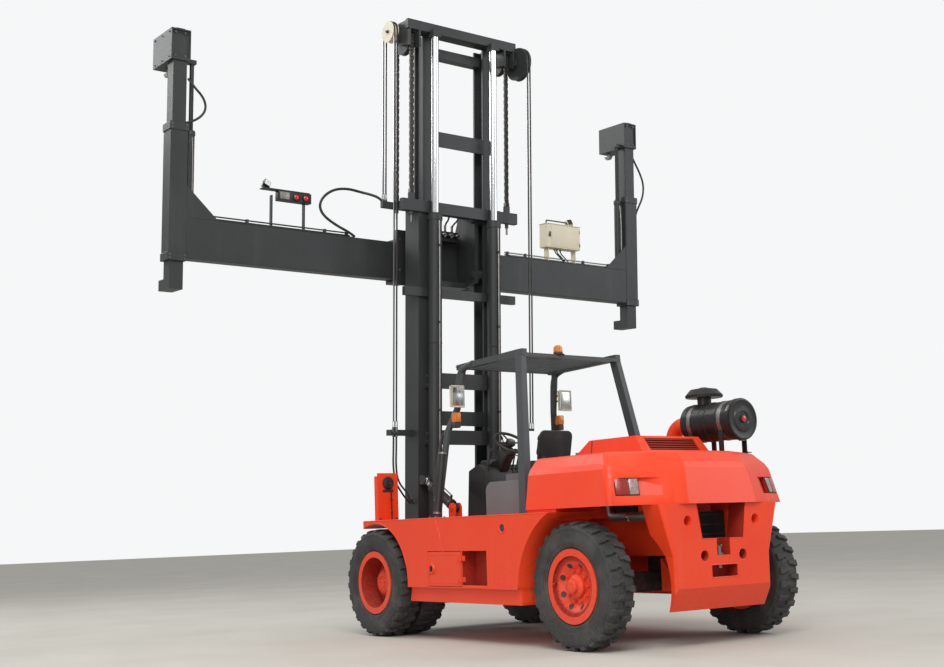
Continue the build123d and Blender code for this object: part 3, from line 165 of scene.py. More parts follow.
def enamel(name, colour, paler, dustiness=0.35, wear=0.5, roughness=0.38, coat=0.25):
    # painted steel: chalked patches, dust that lies on level faces and low down, fine scratches
    material, tree, gloss, place = startMaterial(name)
    patches = place.noise(1.6, 4.0, 0.6)
    grain = place.noise(38.0, 3.0, 0.6)
    streaks = place.noise(9.0, 3.0, 0.5, (1.0, 1.0, 0.12))
    chips = place.noise(62.0, 2.0, 0.7)
    height = place.part("Z")
    facing = place.node("ShaderNodeNewGeometry", {}, {}, 1).part("Z")
    lying = facing.ramp(0.35, 0.95)
    low = 1.0 - height.ramp(0.25, 1.1)
    dust = (lying * patches.ramp(0.38, 0.72) * 0.75 + low * grain.ramp(0.42, 0.75) * 0.8
            + streaks.ramp(0.56, 0.8) * 0.25) * dustiness
    colours = patches.ramp(0.35, 0.75).over(shade(colour), shade(paler))
    colours = dust.below(1.0).over(colours, shade(enamelLook["dust"]))
    chipped = (chips * 0.5 + patches * 0.5).ramp(0.69, 0.72) * wear
    colours = chipped.over(colours, shade(enamelLook["primer"]))
    joinTo(tree, gloss, "Base Color", colours)
    joinTo(tree, gloss, "Roughness", (roughness + dust * 0.45 + grain * 0.10 + chipped * 0.2).below(1.0))
    gloss.inputs["Coat Weight"].default_value = coat
    gloss.inputs["Coat Roughness"].default_value = 0.18
    gloss.inputs["Specular IOR Level"].default_value = 0.36
    ripple = place.noise(420.0, 2.0, 0.5) * 0.3 + grain * 0.4 - chipped * 0.6
    joinTo(tree, gloss, "Normal", bumpOf(place, ripple, 0.18, 0.0012))
    return material


def bareMetal(name, colour, roughness, streak=(1.0, 1.0, 0.05), stain=(0.16, 0.09, 0.05), stained=0.25):
    material, tree, gloss, place = startMaterial(name)
    brushed = place.noise(180.0, 2.0, 0.5, streak)
    spots = place.noise(14.0, 4.0, 0.65)
    dirt = spots.ramp(0.52, 0.78) * stained
    joinTo(tree, gloss, "Base Color", dirt.over(shade(colour), shade(stain)))
    joinTo(tree, gloss, "Roughness", (roughness + brushed * 0.12 + dirt * 0.4).below(1.0))
    joinTo(tree, gloss, "Metallic", 1.0 - dirt * 0.8)
    joinTo(tree, gloss, "Normal", bumpOf(place, brushed, 0.08, 0.0006))
    return material


def rubbery(name, colour, dustColour=(0.24, 0.21, 0.18), dustiness=0.5, roughness=0.72, size=60.0):
    material, tree, gloss, place = startMaterial(name)
    cloudy = place.noise(5.0, 4.0, 0.6)
    grain = place.noise(size, 3.0, 0.6)
    low = 1.0 - place.part("Z").ramp(0.0, 0.9)
    dust = (cloudy.ramp(0.45, 0.75) * 0.6 + low * grain.ramp(0.4, 0.8) * 0.7) * dustiness
    joinTo(tree, gloss, "Base Color", dust.below(1.0).over(shade(colour), shade(dustColour)))
    joinTo(tree, gloss, "Roughness", (roughness + dust * 0.25 + grain * 0.08).below(1.0))
    joinTo(tree, gloss, "Normal", bumpOf(place, grain + place.noise(size * 6, 2.0) * 0.4, 0.25, 0.0015))
    return material


def lens(name, colour, glow=0.0, size=160.0):
    # moulded plastic with a fine square relief
    material, tree, gloss, place = startMaterial(name)
    waves = place.node("ShaderNodeTexVoronoi", {"feature": "F1"}, {"Vector": place, "Scale": size})
    dirt = place.noise(30.0, 4.0).ramp(0.5, 0.85) * 0.3
    deep = tuple(c * 0.45 for c in colour)
    joinTo(tree, gloss, "Base Color", waves.ramp(0.1, 0.6).over(shade(deep), shade(colour)))
    joinTo(tree, gloss, "Roughness", 0.12 + dirt)
    gloss.inputs["Coat Weight"].default_value = 0.6
    if glow:
        gloss.inputs["Emission Color"].default_value = shade(colour)
        gloss.inputs["Emission Strength"].default_value = glow
    joinTo(tree, gloss, "Normal", bumpOf(place, waves, 0.4, 0.002))
    return material


red = enamel("orange red enamel", (0.80, 0.047, 0.009), (0.83, 0.060, 0.014), 0.12, 0.25, 0.36, 0.08)
# painted shade: a darker copy of the body red, laid on hollows and recesses that lie in shade
paintedShadeRed = enamel("shaded enamel", (0.34, 0.016, 0.005), (0.38, 0.022, 0.008), 0.15, 0.3, 0.55, 0.0)
rimRed = enamel("rim enamel", (0.76, 0.045, 0.010), (0.80, 0.060, 0.016), 0.24, 0.5, 0.42, 0.06)
mastGrey = enamel("mast enamel", (0.024, 0.027, 0.028), (0.034, 0.037, 0.038), 0.12, 0.6, 0.44, 0.08)
guardGrey = enamel("guard enamel", (0.046, 0.053, 0.057), (0.058, 0.065, 0.069), 0.15, 0.5, 0.42, 0.1)
blackPaint = enamel("black enamel", (0.010, 0.010, 0.011), (0.016, 0.016, 0.017), 0.14, 0.5, 0.40, 0.20)
cream = enamel("cream enamel", (0.62, 0.57, 0.42), (0.68, 0.64, 0.50), 0.5, 0.5, 0.45, 0.1)
engineGrey = enamel("casting", (0.035, 0.036, 0.038), (0.055, 0.052, 0.048), 0.6, 0.8, 0.6, 0.0)
tyreRubber = rubbery("tyre rubber", (0.028, 0.029, 0.029), (0.20, 0.185, 0.165), 0.45)
hoseRubber = rubbery("hose rubber", (0.012, 0.012, 0.013), dustiness=0.2, roughness=0.5, size=120.0)
blackPlastic = rubbery("black plastic", (0.014, 0.014, 0.015), dustiness=0.25, roughness=0.45, size=200.0)
chrome = bareMetal("chromed rod", (0.86, 0.86, 0.87), 0.07, stained=0.10)
steel = bareMetal("oiled steel", (0.28, 0.27, 0.26), 0.38, stained=0.45)
chainSteel = bareMetal("chain steel", (0.09, 0.085, 0.08), 0.45, stained=0.5)
redLens = lens("red lens", (0.55, 0.010, 0.006))
stopLens = lens("stop lens", (0.30, 0.014, 0.009))
reverseLens = lens("reversing lens", (0.34, 0.25, 0.23), size=90.0)
amberLens = lens("amber lens", (0.75, 0.20, 0.01))
clearLens = lens("clear lens", (0.75, 0.76, 0.78), size=90.0)
mirrorGlass = bareMetal("mirror glass", (0.52, 0.52, 0.49), 0.16, stained=0.05)
print("materials made")

finishes = {
    red: ["frame", "side_bodies", "side_door", "lamp_uprights", "counterweight", "hood", "hood_lid",
          "intake_elbow"],
    rimRed: ["front_left_rims", "front_right_rims", "rear_left_rim", "rear_right_rim"],
    mastGrey: ["outer_mast", "inner_mast", "lift_barrels", "carriage", "spreader_beam", "leg_left",
               "leg_right", "leg_barrels", "tilt_barrel_left", "tilt_barrel_right"],
    guardGrey: ["guard", "seat_covers", "dash", "floor_plate"],
    blackPaint: ["air_cleaner", "drive_axle", "steer_axle", "knuckle_left", "knuckle_right", "radiator"],
    cream: ["control_box", "sheaves"],
    engineGrey: ["engine"],
    tyreRubber: ["front_left_tyres", "front_right_tyres", "rear_left_tyre", "rear_right_tyre"],
    chrome: ["lift_rods", "tilt_rod_left", "tilt_rod_right"],
    steel: ["hitch_pin", "tail_pipe", "twistlock_left", "twistlock_right"],
    chainSteel: ["rear_strands", "front_strands"],
    blackPlastic: ["seat", "steering_wheel", "mirrors", "truck_lamps", "spreader_lamps"],
}
for material, names in finishes.items():
    for name in names:
        if name in nodes:
            nodes[name].data.materials.clear()
            nodes[name].data.materials.append(material)


# Making pieces

def newPiece(name, mesh, body, materials, smooth=35.0):
    # hands a bmesh to a finished piece on its body
    data = bpy.data.meshes.new(name)
    mesh.to_mesh(data)
    mesh.free()
    for material in materials:
        data.materials.append(material)
    data.shade_smooth()
    data.set_sharp_from_angle(angle=math.radians(smooth))
    piece = bpy.data.objects.new(name, data)
    bpy.context.scene.collection.objects.link(piece)
    if body:
        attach(piece, body)
    return piece


def joinMesh(mesh, other, place=Matrix(), material=None, keep=False):
    # adds one bmesh to another at a place
    if material is not None:
        for face in other.faces:
            face.material_index = material
    data = bpy.data.meshes.new("joint")
    other.to_mesh(data)
    data.transform(place)
    if place.determinant() < 0:
        data.flip_normals()
    mesh.from_mesh(data)
    bpy.data.meshes.remove(data)
    if not keep:
        other.free()


def addDrum(mesh, start, end, radius, sides=16, material=0):
    # a turned bar between two points
    before = len(mesh.faces)
    run = end - start
    turn = run.to_track_quat("Z", "Y").to_matrix().to_4x4()
    bmesh.ops.create_cone(mesh, cap_ends=True, segments=sides, radius1=radius, radius2=radius,
                          depth=run.length, matrix=Matrix.Translation((start + end) / 2) @ turn)
    mesh.faces.ensure_lookup_table()
    for face in mesh.faces[before:]:
        face.material_index = material


def addBlock(mesh, low, high, place, rounding=0.003, material=0, segments=2):
    # a rounded block between two corners, put in place
    block = bmesh.new()
    low, high = Vector(map(min, low, high)), Vector(map(max, low, high))
    bmesh.ops.create_cube(block, size=1.0)
    bmesh.ops.scale(block, vec=high - low, verts=block.verts)
    bmesh.ops.translate(block, vec=(low + high) / 2, verts=block.verts)
    if rounding:
        bmesh.ops.bevel(block, geom=list(block.edges), offset=rounding, segments=segments, affect="EDGES",
                        profile=0.5, material=-1, clamp_overlap=True)
    joinMesh(mesh, block, place, material)


def addPanel(mesh, low, high, corner, place=Matrix(), rounding=0.008):
    # a block whose four edges along its thickness, its z, have a large radius
    panel = bmesh.new()
    outline = []
    for x, y, start in ((high[0] - corner, high[1] - corner, 0), (low[0] + corner, high[1] - corner, 90),
                        (low[0] + corner, low[1] + corner, 180), (high[0] - corner, low[1] + corner, 270)):
        for step in range(7):
            angle = math.radians(start + step * 15)
            outline.append(panel.verts.new((x + corner * math.cos(angle), y + corner * math.sin(angle),
                                            low[2])))
    made = bmesh.ops.extrude_face_region(panel, geom=[panel.faces.new(outline)])
    top = [item for item in made["geom"] if isinstance(item, bmesh.types.BMVert)]
    bmesh.ops.translate(panel, vec=(0, 0, high[2] - low[2]), verts=top)
    bmesh.ops.recalc_face_normals(panel, faces=panel.faces)
    rims = [edge for edge in panel.edges if len({round(vertex.co.z, 5) for vertex in edge.verts}) == 1]
    bmesh.ops.bevel(panel, geom=rims, offset=rounding, segments=3, affect="EDGES", profile=0.5, material=-1)
    joinMesh(mesh, panel, place, 0)


def addTurned(mesh, centre, direction, profile, steps=32, material=0):
    # spins a profile of (distance along, radius) round a line
    direction = direction.normalized()
    across = direction.orthogonal().normalized()
    turned = bmesh.new()
    vertices = [turned.verts.new(direction * along + across * radius) for along, radius in profile]
    edges = [turned.edges.new(pair) for pair in zip(vertices, vertices[1:])]
    bmesh.ops.spin(turned, geom=vertices + edges, cent=(0, 0, 0), axis=direction, angle=math.tau, steps=steps,
                   use_merge=True)
    bmesh.ops.remove_doubles(turned, verts=turned.verts, dist=1e-6)
    bmesh.ops.recalc_face_normals(turned, faces=turned.faces)
    joinMesh(mesh, turned, Matrix.Translation(centre), material)


def smoothLine(points, resolution):
    # an object that holds one NURBS curve near its points
    curve = bpy.data.curves.new("line", "CURVE")
    curve.dimensions = "3D"
    spline = curve.splines.new("NURBS")
    spline.points.add(len(points) - 1)
    for point, place in zip(spline.points, points):
        point.co = (*place, 1.0)
    spline.order_u = 3
    spline.use_endpoint_u = True
    spline.resolution_u = resolution
    return bpy.data.objects.new("line", curve)


def thickened(holder, radius, roundness):
    # the mesh of a capped bar along a held curve, which is then taken away
    curve = holder.data
    curve.bevel_depth = radius
    curve.bevel_resolution = roundness
    curve.use_fill_caps = True
    bar = bpy.data.meshes.new_from_object(holder)
    bpy.data.objects.remove(holder)
    bpy.data.curves.remove(curve)
    return bar


def ringOf(count, axis, turn=0.0):
    # unit vectors spread evenly round an axis, the first one turned by a share of a step
    for number in range(count):
        angle = math.tau * (number + turn) / count
        along, across = math.cos(angle), math.sin(angle)
        yield Vector({"X": (0, along, across), "Y": (along, 0, across), "Z": (along, across, 0)}[axis])


class Work:
    # a piece in the making: its points are stations, on the ground or on the mast before it leans
    def __init__(self, stand=groundMove):
        self.mesh, self.stand = bmesh.new(), stand

    def at(self, spot):
        return self.stand @ Vector(spot)

    def aim(self, direction):
        return self.stand.to_3x3() @ Vector(direction)

    def block(self, low, high, rounding=0.003, material=0, segments=2):
        addBlock(self.mesh, low, high, self.stand, rounding, material, segments)

    def drum(self, start, end, radius, sides=16, material=0):
        addDrum(self.mesh, self.at(start), self.at(end), radius, sides, material)

    def turned(self, centre, direction, profile, steps=32, material=0):
        addTurned(self.mesh, self.at(centre), self.aim(direction), profile, steps, material)

    def band(self, centre, direction, half, inner, outer, steps=32, material=0):
        # a closed strap round a drum
        self.turned(centre, direction, [(-half, inner), (-half, outer), (half, outer), (half, inner),
                                        (-half, inner)], steps, material)

    def tube(self, points, radius, sides=12, material=0):
        # a bent bar that follows points
        data = thickened(smoothLine([self.at(point) for point in points], 6), radius, sides // 4)
        bar = bmesh.new()
        bar.from_mesh(data)
        bpy.data.meshes.remove(data)
        bmesh.ops.recalc_face_normals(bar, faces=bar.faces)
        joinMesh(self.mesh, bar, material=material)

    def bolts(self, places, direction, size, material=0):
        # hexagon heads with a washer each
        lift = self.aim(direction).normalized() * size
        for place in places:
            foot = self.at(place)
            addDrum(self.mesh, foot - lift * 0.1, foot + lift * 0.15, size * 0.95, 14, material)
            addDrum(self.mesh, foot, foot + lift * 0.75, size * 0.62, 6, material)

    def finish(self, name, body, materials, slot):
        return newPiece(name, self.mesh, body, materials)


print("tools ready")


# Tyres: carcass and two staggered rings of lugs, turned about each wheel's axle

tyreSize = {"half": 0.1295, "treadHalf": 0.113, "lugs": 26, "lugHeight": 0.026, "lugFoot": 0.012,
            "lugEdge": 0.004, "ribs": ((0.327, 0.1185), (0.345, 0.1245), (0.452, 0.1235))}
lugRoot = axleZ - tyreSize["lugHeight"]


def lugShape():
    # half of the tread's width: a wide shoulder block that narrows and bends towards the middle
    lug = bmesh.new()
    half, foot = tyreSize["treadHalf"], tyreSize["lugFoot"]
    outline = [(0.006, -0.030), (0.046, -0.034), (0.062, -0.046), (half, -0.050), (half, 0.006),
               (0.070, 0.010), (0.052, 0.000), (0.006, 0.006)]
    lug.faces.new([lug.verts.new((across, along, lugRoot - foot)) for across, along in outline])
    up = bmesh.ops.extrude_face_region(lug, geom=list(lug.faces))
    top = [item for item in up["geom"] if isinstance(item, bmesh.types.BMVert)]
    bmesh.ops.translate(lug, vec=(0, 0, tyreSize["lugHeight"] + foot), verts=top)
    bmesh.ops.scale(lug, vec=(0.985, 0.90, 1.0), verts=top, space=Matrix.Translation((-half * 0.6, 0.022, 0)))
    for vertex in top:
        # the shoulder falls away
        vertex.co.z -= 0.010 * max(0.0, (vertex.co.x - 0.075) / 0.038) ** 2
    bmesh.ops.bevel(lug, geom=[edge for edge in lug.edges if all(v in top for v in edge.verts)],
                    offset=tyreSize["lugEdge"], segments=1, affect="EDGES", profile=0.5, material=-1)
    bmesh.ops.recalc_face_normals(lug, faces=lug.faces)
    return lug


def makeTyre(name, replaced, body, centres, stationX):
    work = Work()
    edge = tyreSize["half"]
    profile = [(0.098, 0.256), (0.098, 0.300), (0.104, 0.308), (0.112, 0.310), (0.116, 0.318), (0.122, 0.335),
               (0.1275, 0.360), (edge, 0.385), (edge - 0.001, 0.410), (edge - 0.004, 0.440), (0.121, 0.462),
               (0.114, lugRoot - 0.008), (0.100, lugRoot), (0.05, lugRoot + 0.003), (0.0, lugRoot + 0.004)]
    outline = profile + [(-along, radius) for along, radius in reversed(profile[:-1])]
    outline.append(outline[0])
    # the lug's x is across the tread, its z the radius
    stand = Matrix(((0, 1, 0, 0), (1, 0, 0, 0), (0, 0, 1, 0), (0, 0, 0, 1)))
    for centre in centres:
        hub = (stationX, centre, axleZ)
        work.turned(hub, (0, 1, 0), outline, 64)
        for ring in (1, -1):
            lug = lugShape()
            for number in range(tyreSize["lugs"]):
                angle = math.tau * (number + (0.5 if ring < 0 else 0.0)) / tyreSize["lugs"]
                place = Matrix.Translation(work.at(hub)) @ Matrix.Rotation(angle, 4, "Y") @ stand
                joinMesh(work.mesh, lug, place @ Matrix.Diagonal((ring, 1, 1, 1)), keep=True)
            lug.free()
        for out in (1, -1):
            # sidewall ribs
            for radius, at in tyreSize["ribs"]:
                work.turned(hub, (0, out, 0), [
                    (at - 0.004, radius - 0.004), (at + 0.0025, radius - 0.002),
                    (at + 0.0025, radius + 0.002), (at - 0.004, radius + 0.004),
                    (at - 0.004, radius - 0.004)], 64)
    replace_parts(work.finish(name, body, [tyreRubber], "rubber"), replaced)


for side, s in bothSides:
    makeTyre(f"front_{side}_lugged_tyres", f"front_{side}_tyres", f"front_{side}_wheels",
             (s * 1.06, s * 0.76), wheelbase)
    makeTyre(f"rear_{side}_lugged_tyre", f"rear_{side}_tyre", f"rear_{side}_wheel", (s * 0.955,), 0.0)
print("tyres made")


# Wheel nuts, hand holes and valves

wheelSizes = {"rear": {"body": "wheel", "x": 0.0, "nutY": 0.995, "nutCircle": 0.125, "sunk": 0.004,
                       "proud": 0.022, "holeY": 1.0195, "holeCircle": 0.174, "holeRadius": 0.025,
                       "holeAim": (0.828, 0.561), "valve": (0.215, 1.048, 0.02)},
              "front": {"body": "wheels", "x": wheelbase, "nutY": 0.951, "nutCircle": 0.157, "sunk": 0.030,
                        "proud": 0.020, "holeY": 0.9475, "holeCircle": 0.2205, "holeRadius": 0.020,
                        "holeAim": (0.676, 0.737), "valve": (0.226, 0.972, 0.03)},}


def handHole(mesh, centre, normal, radius):
    # a rolled rim on a wheel's disc, with a black disc inside it as painted shade for the opening
    addTurned(mesh, centre, normal, [(-0.003, radius * 1.24), (0.0045, radius * 1.15),
                                     (0.0055, radius * 1.04), (0.002, radius * 0.98)], 24)
    addTurned(mesh, centre, normal, [(0.0026, radius), (0.0026, 0.0)], 24, 1)


for side, s in bothSides:
    for axle, size in wheelSizes.items():
        work = Work()
        outward = Vector((0, s, 0))
        hub = work.at((size["x"], s * size["nutY"], axleZ))
        for out in ringOf(10, "Y"):
            spot = hub + out * size["nutCircle"]
            addDrum(work.mesh, spot - outward * size["sunk"], spot + outward * size["proud"], 0.014, 6)
            addDrum(work.mesh, spot, spot + outward * 0.032, 0.007, 10)
        if axle == "front":
            cap = work.at((size["x"], s * 1.085, axleZ))
            for out in ringOf(8, "Y"):
                addDrum(work.mesh, cap + out * 0.052 - outward * 0.004, cap + out * 0.052 + outward * 0.010,
                        0.009, 6)
        disc = work.at((size["x"], s * size["holeY"], axleZ))
        for out in ringOf(8, "Y", 0.5):
            handHole(work.mesh, disc + out * size["holeCircle"],
                     outward * size["holeAim"][0] - out * size["holeAim"][1], size["holeRadius"])
        x, y, z = size["valve"]
        foot, lean = work.at((size["x"] + x, s * y, axleZ + z)), Vector((-0.3, s, 0)).normalized()
        addDrum(work.mesh, foot, foot + lean * 0.030, 0.006, 10, 1)
        addDrum(work.mesh, foot + lean * 0.028, foot + lean * 0.042, 0.0045, 10, 2)
        work.finish(f"{axle}_{side}_wheel_nuts", f"{axle}_{side}_{size['body']}",
                    [rimRed, blackPlastic, steel], "body_paint")
print("wheel details made")


# CAD pieces that carry more than one finish

def paintWhere(name, materials, choose):
    # choose gives the number of the material from a face's middle, in stations, and its normal
    data = nodes[name].data
    data.materials.clear()
    for material in materials:
        data.materials.append(material)
    for face in data.polygons:
        face.material_index = choose(face.center - Vector((axleX, 0, 0)), face.normal)


def lampChoice(spot, normal):
    if spot.x > 2.5:
        return 1 if normal.x > 0.9 else 0
    if spot.z > 2.5:
        return 2 if spot.z > 2.59 else 0
    return 3


def insidePipe(spot, normal):
    return 1 if spot.x < -0.36 and abs(spot.y) > 0.57 and (spot.y - 0.6) * normal.y < 0 else 0


# painted shade: the darker red on the faces inside the counterweight's outlet and lower pocket
def weightPocketShade(spot, normal):
    return 1 if -0.645 < spot.x < -0.30 and abs(spot.y) < 0.29 and spot.z > 0.53 else 0


# painted shade: the darker red on the faces inside the side bodies' step recess
def stepRecessShade(spot, normal):
    return 1 if 1.01 < spot.x < 1.39 and 0.99 < abs(spot.y) < 1.149 and 0.48 < spot.z < 0.81 else 0


def rimBarrelShade(wheelX):
    # painted shade: the barrel's inner face gets the darker red
    return lambda spot, normal: 1 if 0.20 < math.hypot(spot.x - wheelX, spot.z - axleZ) < 0.2415 else 0


pipeSoot = rubbery("pipe soot", (0.02, 0.018, 0.016), roughness=0.9)
paintWhere("truck_lamps", [blackPlastic, clearLens, amberLens, stopLens], lampChoice)
paintWhere("mirrors", [cream, blackPlastic], lambda spot, normal: 1 if spot.z < 2.1 else 0)
paintWhere("dash", [blackPaint, blackPlastic], lambda spot, normal: 1 if spot.x < 2.19 else 0)
paintWhere("tail_pipe", [steel, pipeSoot], insidePipe)
paintWhere("sheaves", [mastGrey, cream], lambda spot, normal: 1 if spot.y > 0.69 else 0)
# painted shade: the darker red goes into the counterweight's pocket, the step recess and the rims' inner
# barrels
paintWhere("counterweight", [red, paintedShadeRed], weightPocketShade)
paintWhere("side_bodies", [red, paintedShadeRed], stepRecessShade)
for side in ("left", "right"):
    paintWhere(f"front_{side}_rims", [rimRed, paintedShadeRed], rimBarrelShade(wheelbase))
    paintWhere(f"rear_{side}_rim", [rimRed, paintedShadeRed], rimBarrelShade(0.0))
print("CAD finishes set")


# Mirrors, signal lamps and tail lamps

mirrorSize = {"low": 2.152, "high": 2.352, "inner": 0.600, "outer": 0.745, "rear": 2.039, "rim": 0.012}
signalSize = {"low": 1.960, "high": 2.060, "inner": 0.615, "outer": 0.675, "rear": 2.090, "front": 2.150}
glasses, signals = Work(), Work()
for s in (1, -1):
    size = mirrorSize
    rear, low, high, rim = size["rear"], size["low"], size["high"], size["rim"]
    near, far = sorted((s * size["inner"], s * size["outer"]))
    glasses.block((rear - 0.004, near + rim, low + rim), (rear + 0.004, far - rim, high - rim), 0.002)
    # a rolled frame round the glass
    corners = [(near, low), (far, low), (far, high), (near, high)]
    for start, end in zip(corners, corners[1:] + corners[:1]):
        glasses.drum((rear, *start), (rear, *end), 0.007, 10, 1)
    size = signalSize
    rear, front, low, high = size["rear"], size["front"], size["low"], size["high"]
    near, far = sorted((s * size["inner"], s * size["outer"]))
    signals.block((rear - 0.012, near - 0.003, high - 0.050), (front + 0.003, far + 0.003, high + 0.045),
                  0.010)
    signals.block((rear - 0.004, near - 0.002, low - 0.004), (front + 0.002, far + 0.002, high - 0.054),
                  0.006, 1)
glasses.finish("mirror_glasses", "truck", [mirrorGlass, cream], "cream")
signals.finish("signal_lamps", "truck", [amberLens, blackPlastic], "lamp")


def tailFace(side):
    # the outer face of a CAD tail lamp: its middle, its normal and the level line along it
    faces = [face for face in nodes["truck_lamps"].data.polygons
             if face.center.x - axleX < 0.5 and face.center.z < 1.5 and face.center.y * side > 0]
    largest = max(faces, key=lambda face: face.area * (1.0 if face.normal.x < 0 else 0.01))
    level = Vector((0, 0, 1)).cross(largest.normal).normalized()
    flat = [face for face in faces if (face.normal - largest.normal).length < 1e-3
            and abs((face.center - largest.center).dot(largest.normal)) < 1e-4]
    ends = [nodes["truck_lamps"].data.vertices[index].co for face in flat for index in face.vertices]
    return sum(ends, Vector()) / len(ends), largest.normal.copy(), level


tailSize = {"width": 0.196, "height": 0.138, "split": 0.42, "depth": 0.012, "rim": 0.006, "gap": 0.004}
mesh = bmesh.new()
for s in (1, -1):
    middle, outward, level = tailFace(s)
    place = Matrix((level, outward.cross(level).normalized(), outward)).transposed().to_4x4()
    place.translation = middle
    half, tall, rim, gap = tailSize["width"] / 2, tailSize["height"] / 2, tailSize["rim"], tailSize["gap"]
    # the stop lamp fills the outer part, the reversing lamp the rest; a black rim holds both
    turn = 1 if level.y * s > 0 else -1
    cut = half * 2 * (tailSize["split"] - 0.5) * turn
    for end, kind in ((-half * turn, 1), (half * turn, 0)):
        addBlock(mesh, (min(end, cut) + gap, -tall + gap, -gap),
                 (max(end, cut) - gap, tall - gap, tailSize["depth"]), place, 0.005, kind)
    for low, high in (((-half, -tall), (half, -tall + rim)), ((-half, tall - rim), (half, tall)),
                      ((-half, -tall), (-half + rim, tall)), ((half - rim, -tall), (half, tall))):
        addBlock(mesh, (*low, -0.006), (*high, 0.008), place, 0.002, 2)
    for across in (-half + 0.014, half - 0.014):
        spot = place @ Vector((across, 0, tailSize["depth"]))
        addDrum(mesh, spot, spot + outward * 0.003, 0.004, 12, 3)
newPiece("tail_lamp_lenses", mesh, "truck", [stopLens, reverseLens, blackPlastic, steel])
print("lamps and mirrors made")


# Air cleaner: rolled ribs, strap bands, end cap and the rain cap's screen

cleaner = {"y": -0.620, "z": 1.850, "rear": -0.375, "ribs": (-0.30, -0.20, -0.07, 0.0, 0.16),
           "straps": (-0.25, 0.11), "capX": 0.060, "screenRods": 36, "screenRadius": 0.164}
work = Work()
y, z = cleaner["y"], cleaner["z"]
for x in cleaner["ribs"]:
    work.turned((x, y, z), (1, 0, 0), [(-0.008, 0.169), (-0.004, 0.175), (0.004, 0.175), (0.008, 0.169),
                                       (-0.008, 0.169)], 48)
for x in cleaner["straps"]:
    work.band((x, y, z), (1, 0, 0), 0.022, 0.168, 0.1735, 48, 1)
    for s in (1, -1):
        # strap ears, and the legs' feet with their bolt
        work.block((x - 0.018, y + s * 0.172 - 0.004, z - 0.030),
                   (x + 0.018, y + s * 0.172 + 0.006, z + 0.030), 0.003, 1)
        work.block((x - 0.030, y + s * 0.165 - 0.035, 1.5655), (x + 0.030, y + s * 0.165 + 0.035, 1.573),
                   0.002)
        work.bolts([(x, y + s * 0.175, 1.571)], (0, 0, 1), 0.012, 1)
# stepped end cap with the service button and three latches
work.turned((cleaner["rear"], y, z), (-1, 0, 0), [
    (-0.002, 0.176), (0.006, 0.178), (0.010, 0.166), (0.004, 0.150), (0.004, 0.112), (0.014, 0.104),
    (0.016, 0.070), (0.006, 0.060), (0.006, 0.036), (0.018, 0.032), (0.020, 0.0)], 48)
work.turned((cleaner["rear"] - 0.019, y, z), (-1, 0, 0), [
    (-0.002, 0.026), (0.004, 0.026), (0.009, 0.018), (0.010, 0.0)], 32, 2)
for out in ringOf(3, "X", 0.24):
    latch = work.at((cleaner["rear"] + 0.022, y, z)) + out * 0.178
    addBlock(work.mesh, (-0.030, -0.012, -0.004), (0.030, 0.012, 0.010),
             Matrix.Translation(latch) @ out.to_track_quat("Z", "X").to_matrix().to_4x4(), 0.003, 1)
# rain cap: screen rods under the lid, a band on the neck and a knob
low, high = (work.at((cleaner["capX"], y, level)) for level in (2.078, 2.100))
for out in ringOf(cleaner["screenRods"], "Z"):
    out = out * cleaner["screenRadius"]
    addDrum(work.mesh, low + out * 0.985, high + out, 0.0035, 6)
work.band((cleaner["capX"], y, 1.990), (0, 0, 1), 0.012, 0.0615, 0.066, 40, 1)
work.turned((cleaner["capX"], y, 2.160), (0, 0, 1), [(-0.002, 0.040), (0.006, 0.038), (0.010, 0.020),
                                                     (0.010, 0.0)])
work.finish("air_cleaner_fittings", "truck", [blackPaint, steel, redLens], "black_paint")

# clamps with their screw on the intake elbow and the tail pipe, and the elbow's flange
work = Work()
for spot, direction, radius in (((0.240, y, z), (1, 0, 0), 0.072), ((0.275, y, z), (1, 0, 0), 0.072),
                                ((0.470, y, 1.640), (0, 0, 1), 0.072),
                                ((-0.215, 0.600, 1.040), (1, 0, 0), 0.038)):
    work.band(spot, direction, 0.009, radius - 0.001, radius + 0.0035, 40)
    direction = Vector(direction)
    out = direction.cross(Vector((0, 0.6, 0.8))).normalized() * (radius + 0.008)
    screw = direction.cross(out).normalized() * 0.018
    addDrum(work.mesh, work.at(spot) + out - screw, work.at(spot) + out + screw, 0.005, 8)
work.turned((0.470, y, 1.566), (0, 0, 1), [(0.0, 0.073), (0.0, 0.100), (0.008, 0.100), (0.012, 0.073)], 40, 1)
work.finish("pipe_bands", "truck", [chrome, red], "steel")
print("air cleaner and bands made")


# Chains and taut hoses

chainSize = {"pitch": 0.0381, "plate": 0.0042, "height": 0.028, "width": 0.044, "pin": 0.0065, "plates": 8}
sheave = {"x": 3.170, "y": 0.620, "z": 6.110, "run": 0.140}
pulleys = (((3.230, 0.755, 6.200), 0.1083), ((2.960, -0.750, 6.060), 0.1753))
hose = {"radius": 0.009, "pitch": 0.034, "clamp": 2.010, "front": 4.400}
hosePair = (-hose["pitch"] / 2, hose["pitch"] / 2)


def chainLink(odd):
    # one pitch of leaf chain along Z: laced plates with a waist, and the pin
    link = bmesh.new()
    size = chainSize
    for number in range(size["plates"]):
        if number % 2 == odd:
            continue
        y = size["width"] * ((number + 0.5) / size["plates"] - 0.5)
        plate = bmesh.new()
        bmesh.ops.create_cone(plate, cap_ends=True, segments=12, radius1=size["height"] / 2,
                              radius2=size["height"] / 2, depth=size["plate"],
                              matrix=Matrix.Rotation(math.pi / 2, 4, "X"))
        for vertex in plate.verts:
            # stretched ends leave the waist between two pins
            if vertex.co.z > 0:
                vertex.co.z += size["pitch"] * 0.98
        joinMesh(link, plate, Matrix.Translation((0, y, 0)), 0)
    addDrum(link, Vector((0, -0.0225, 0)), Vector((0, 0.0225, 0)), size["pin"], 8, 1)
    return link


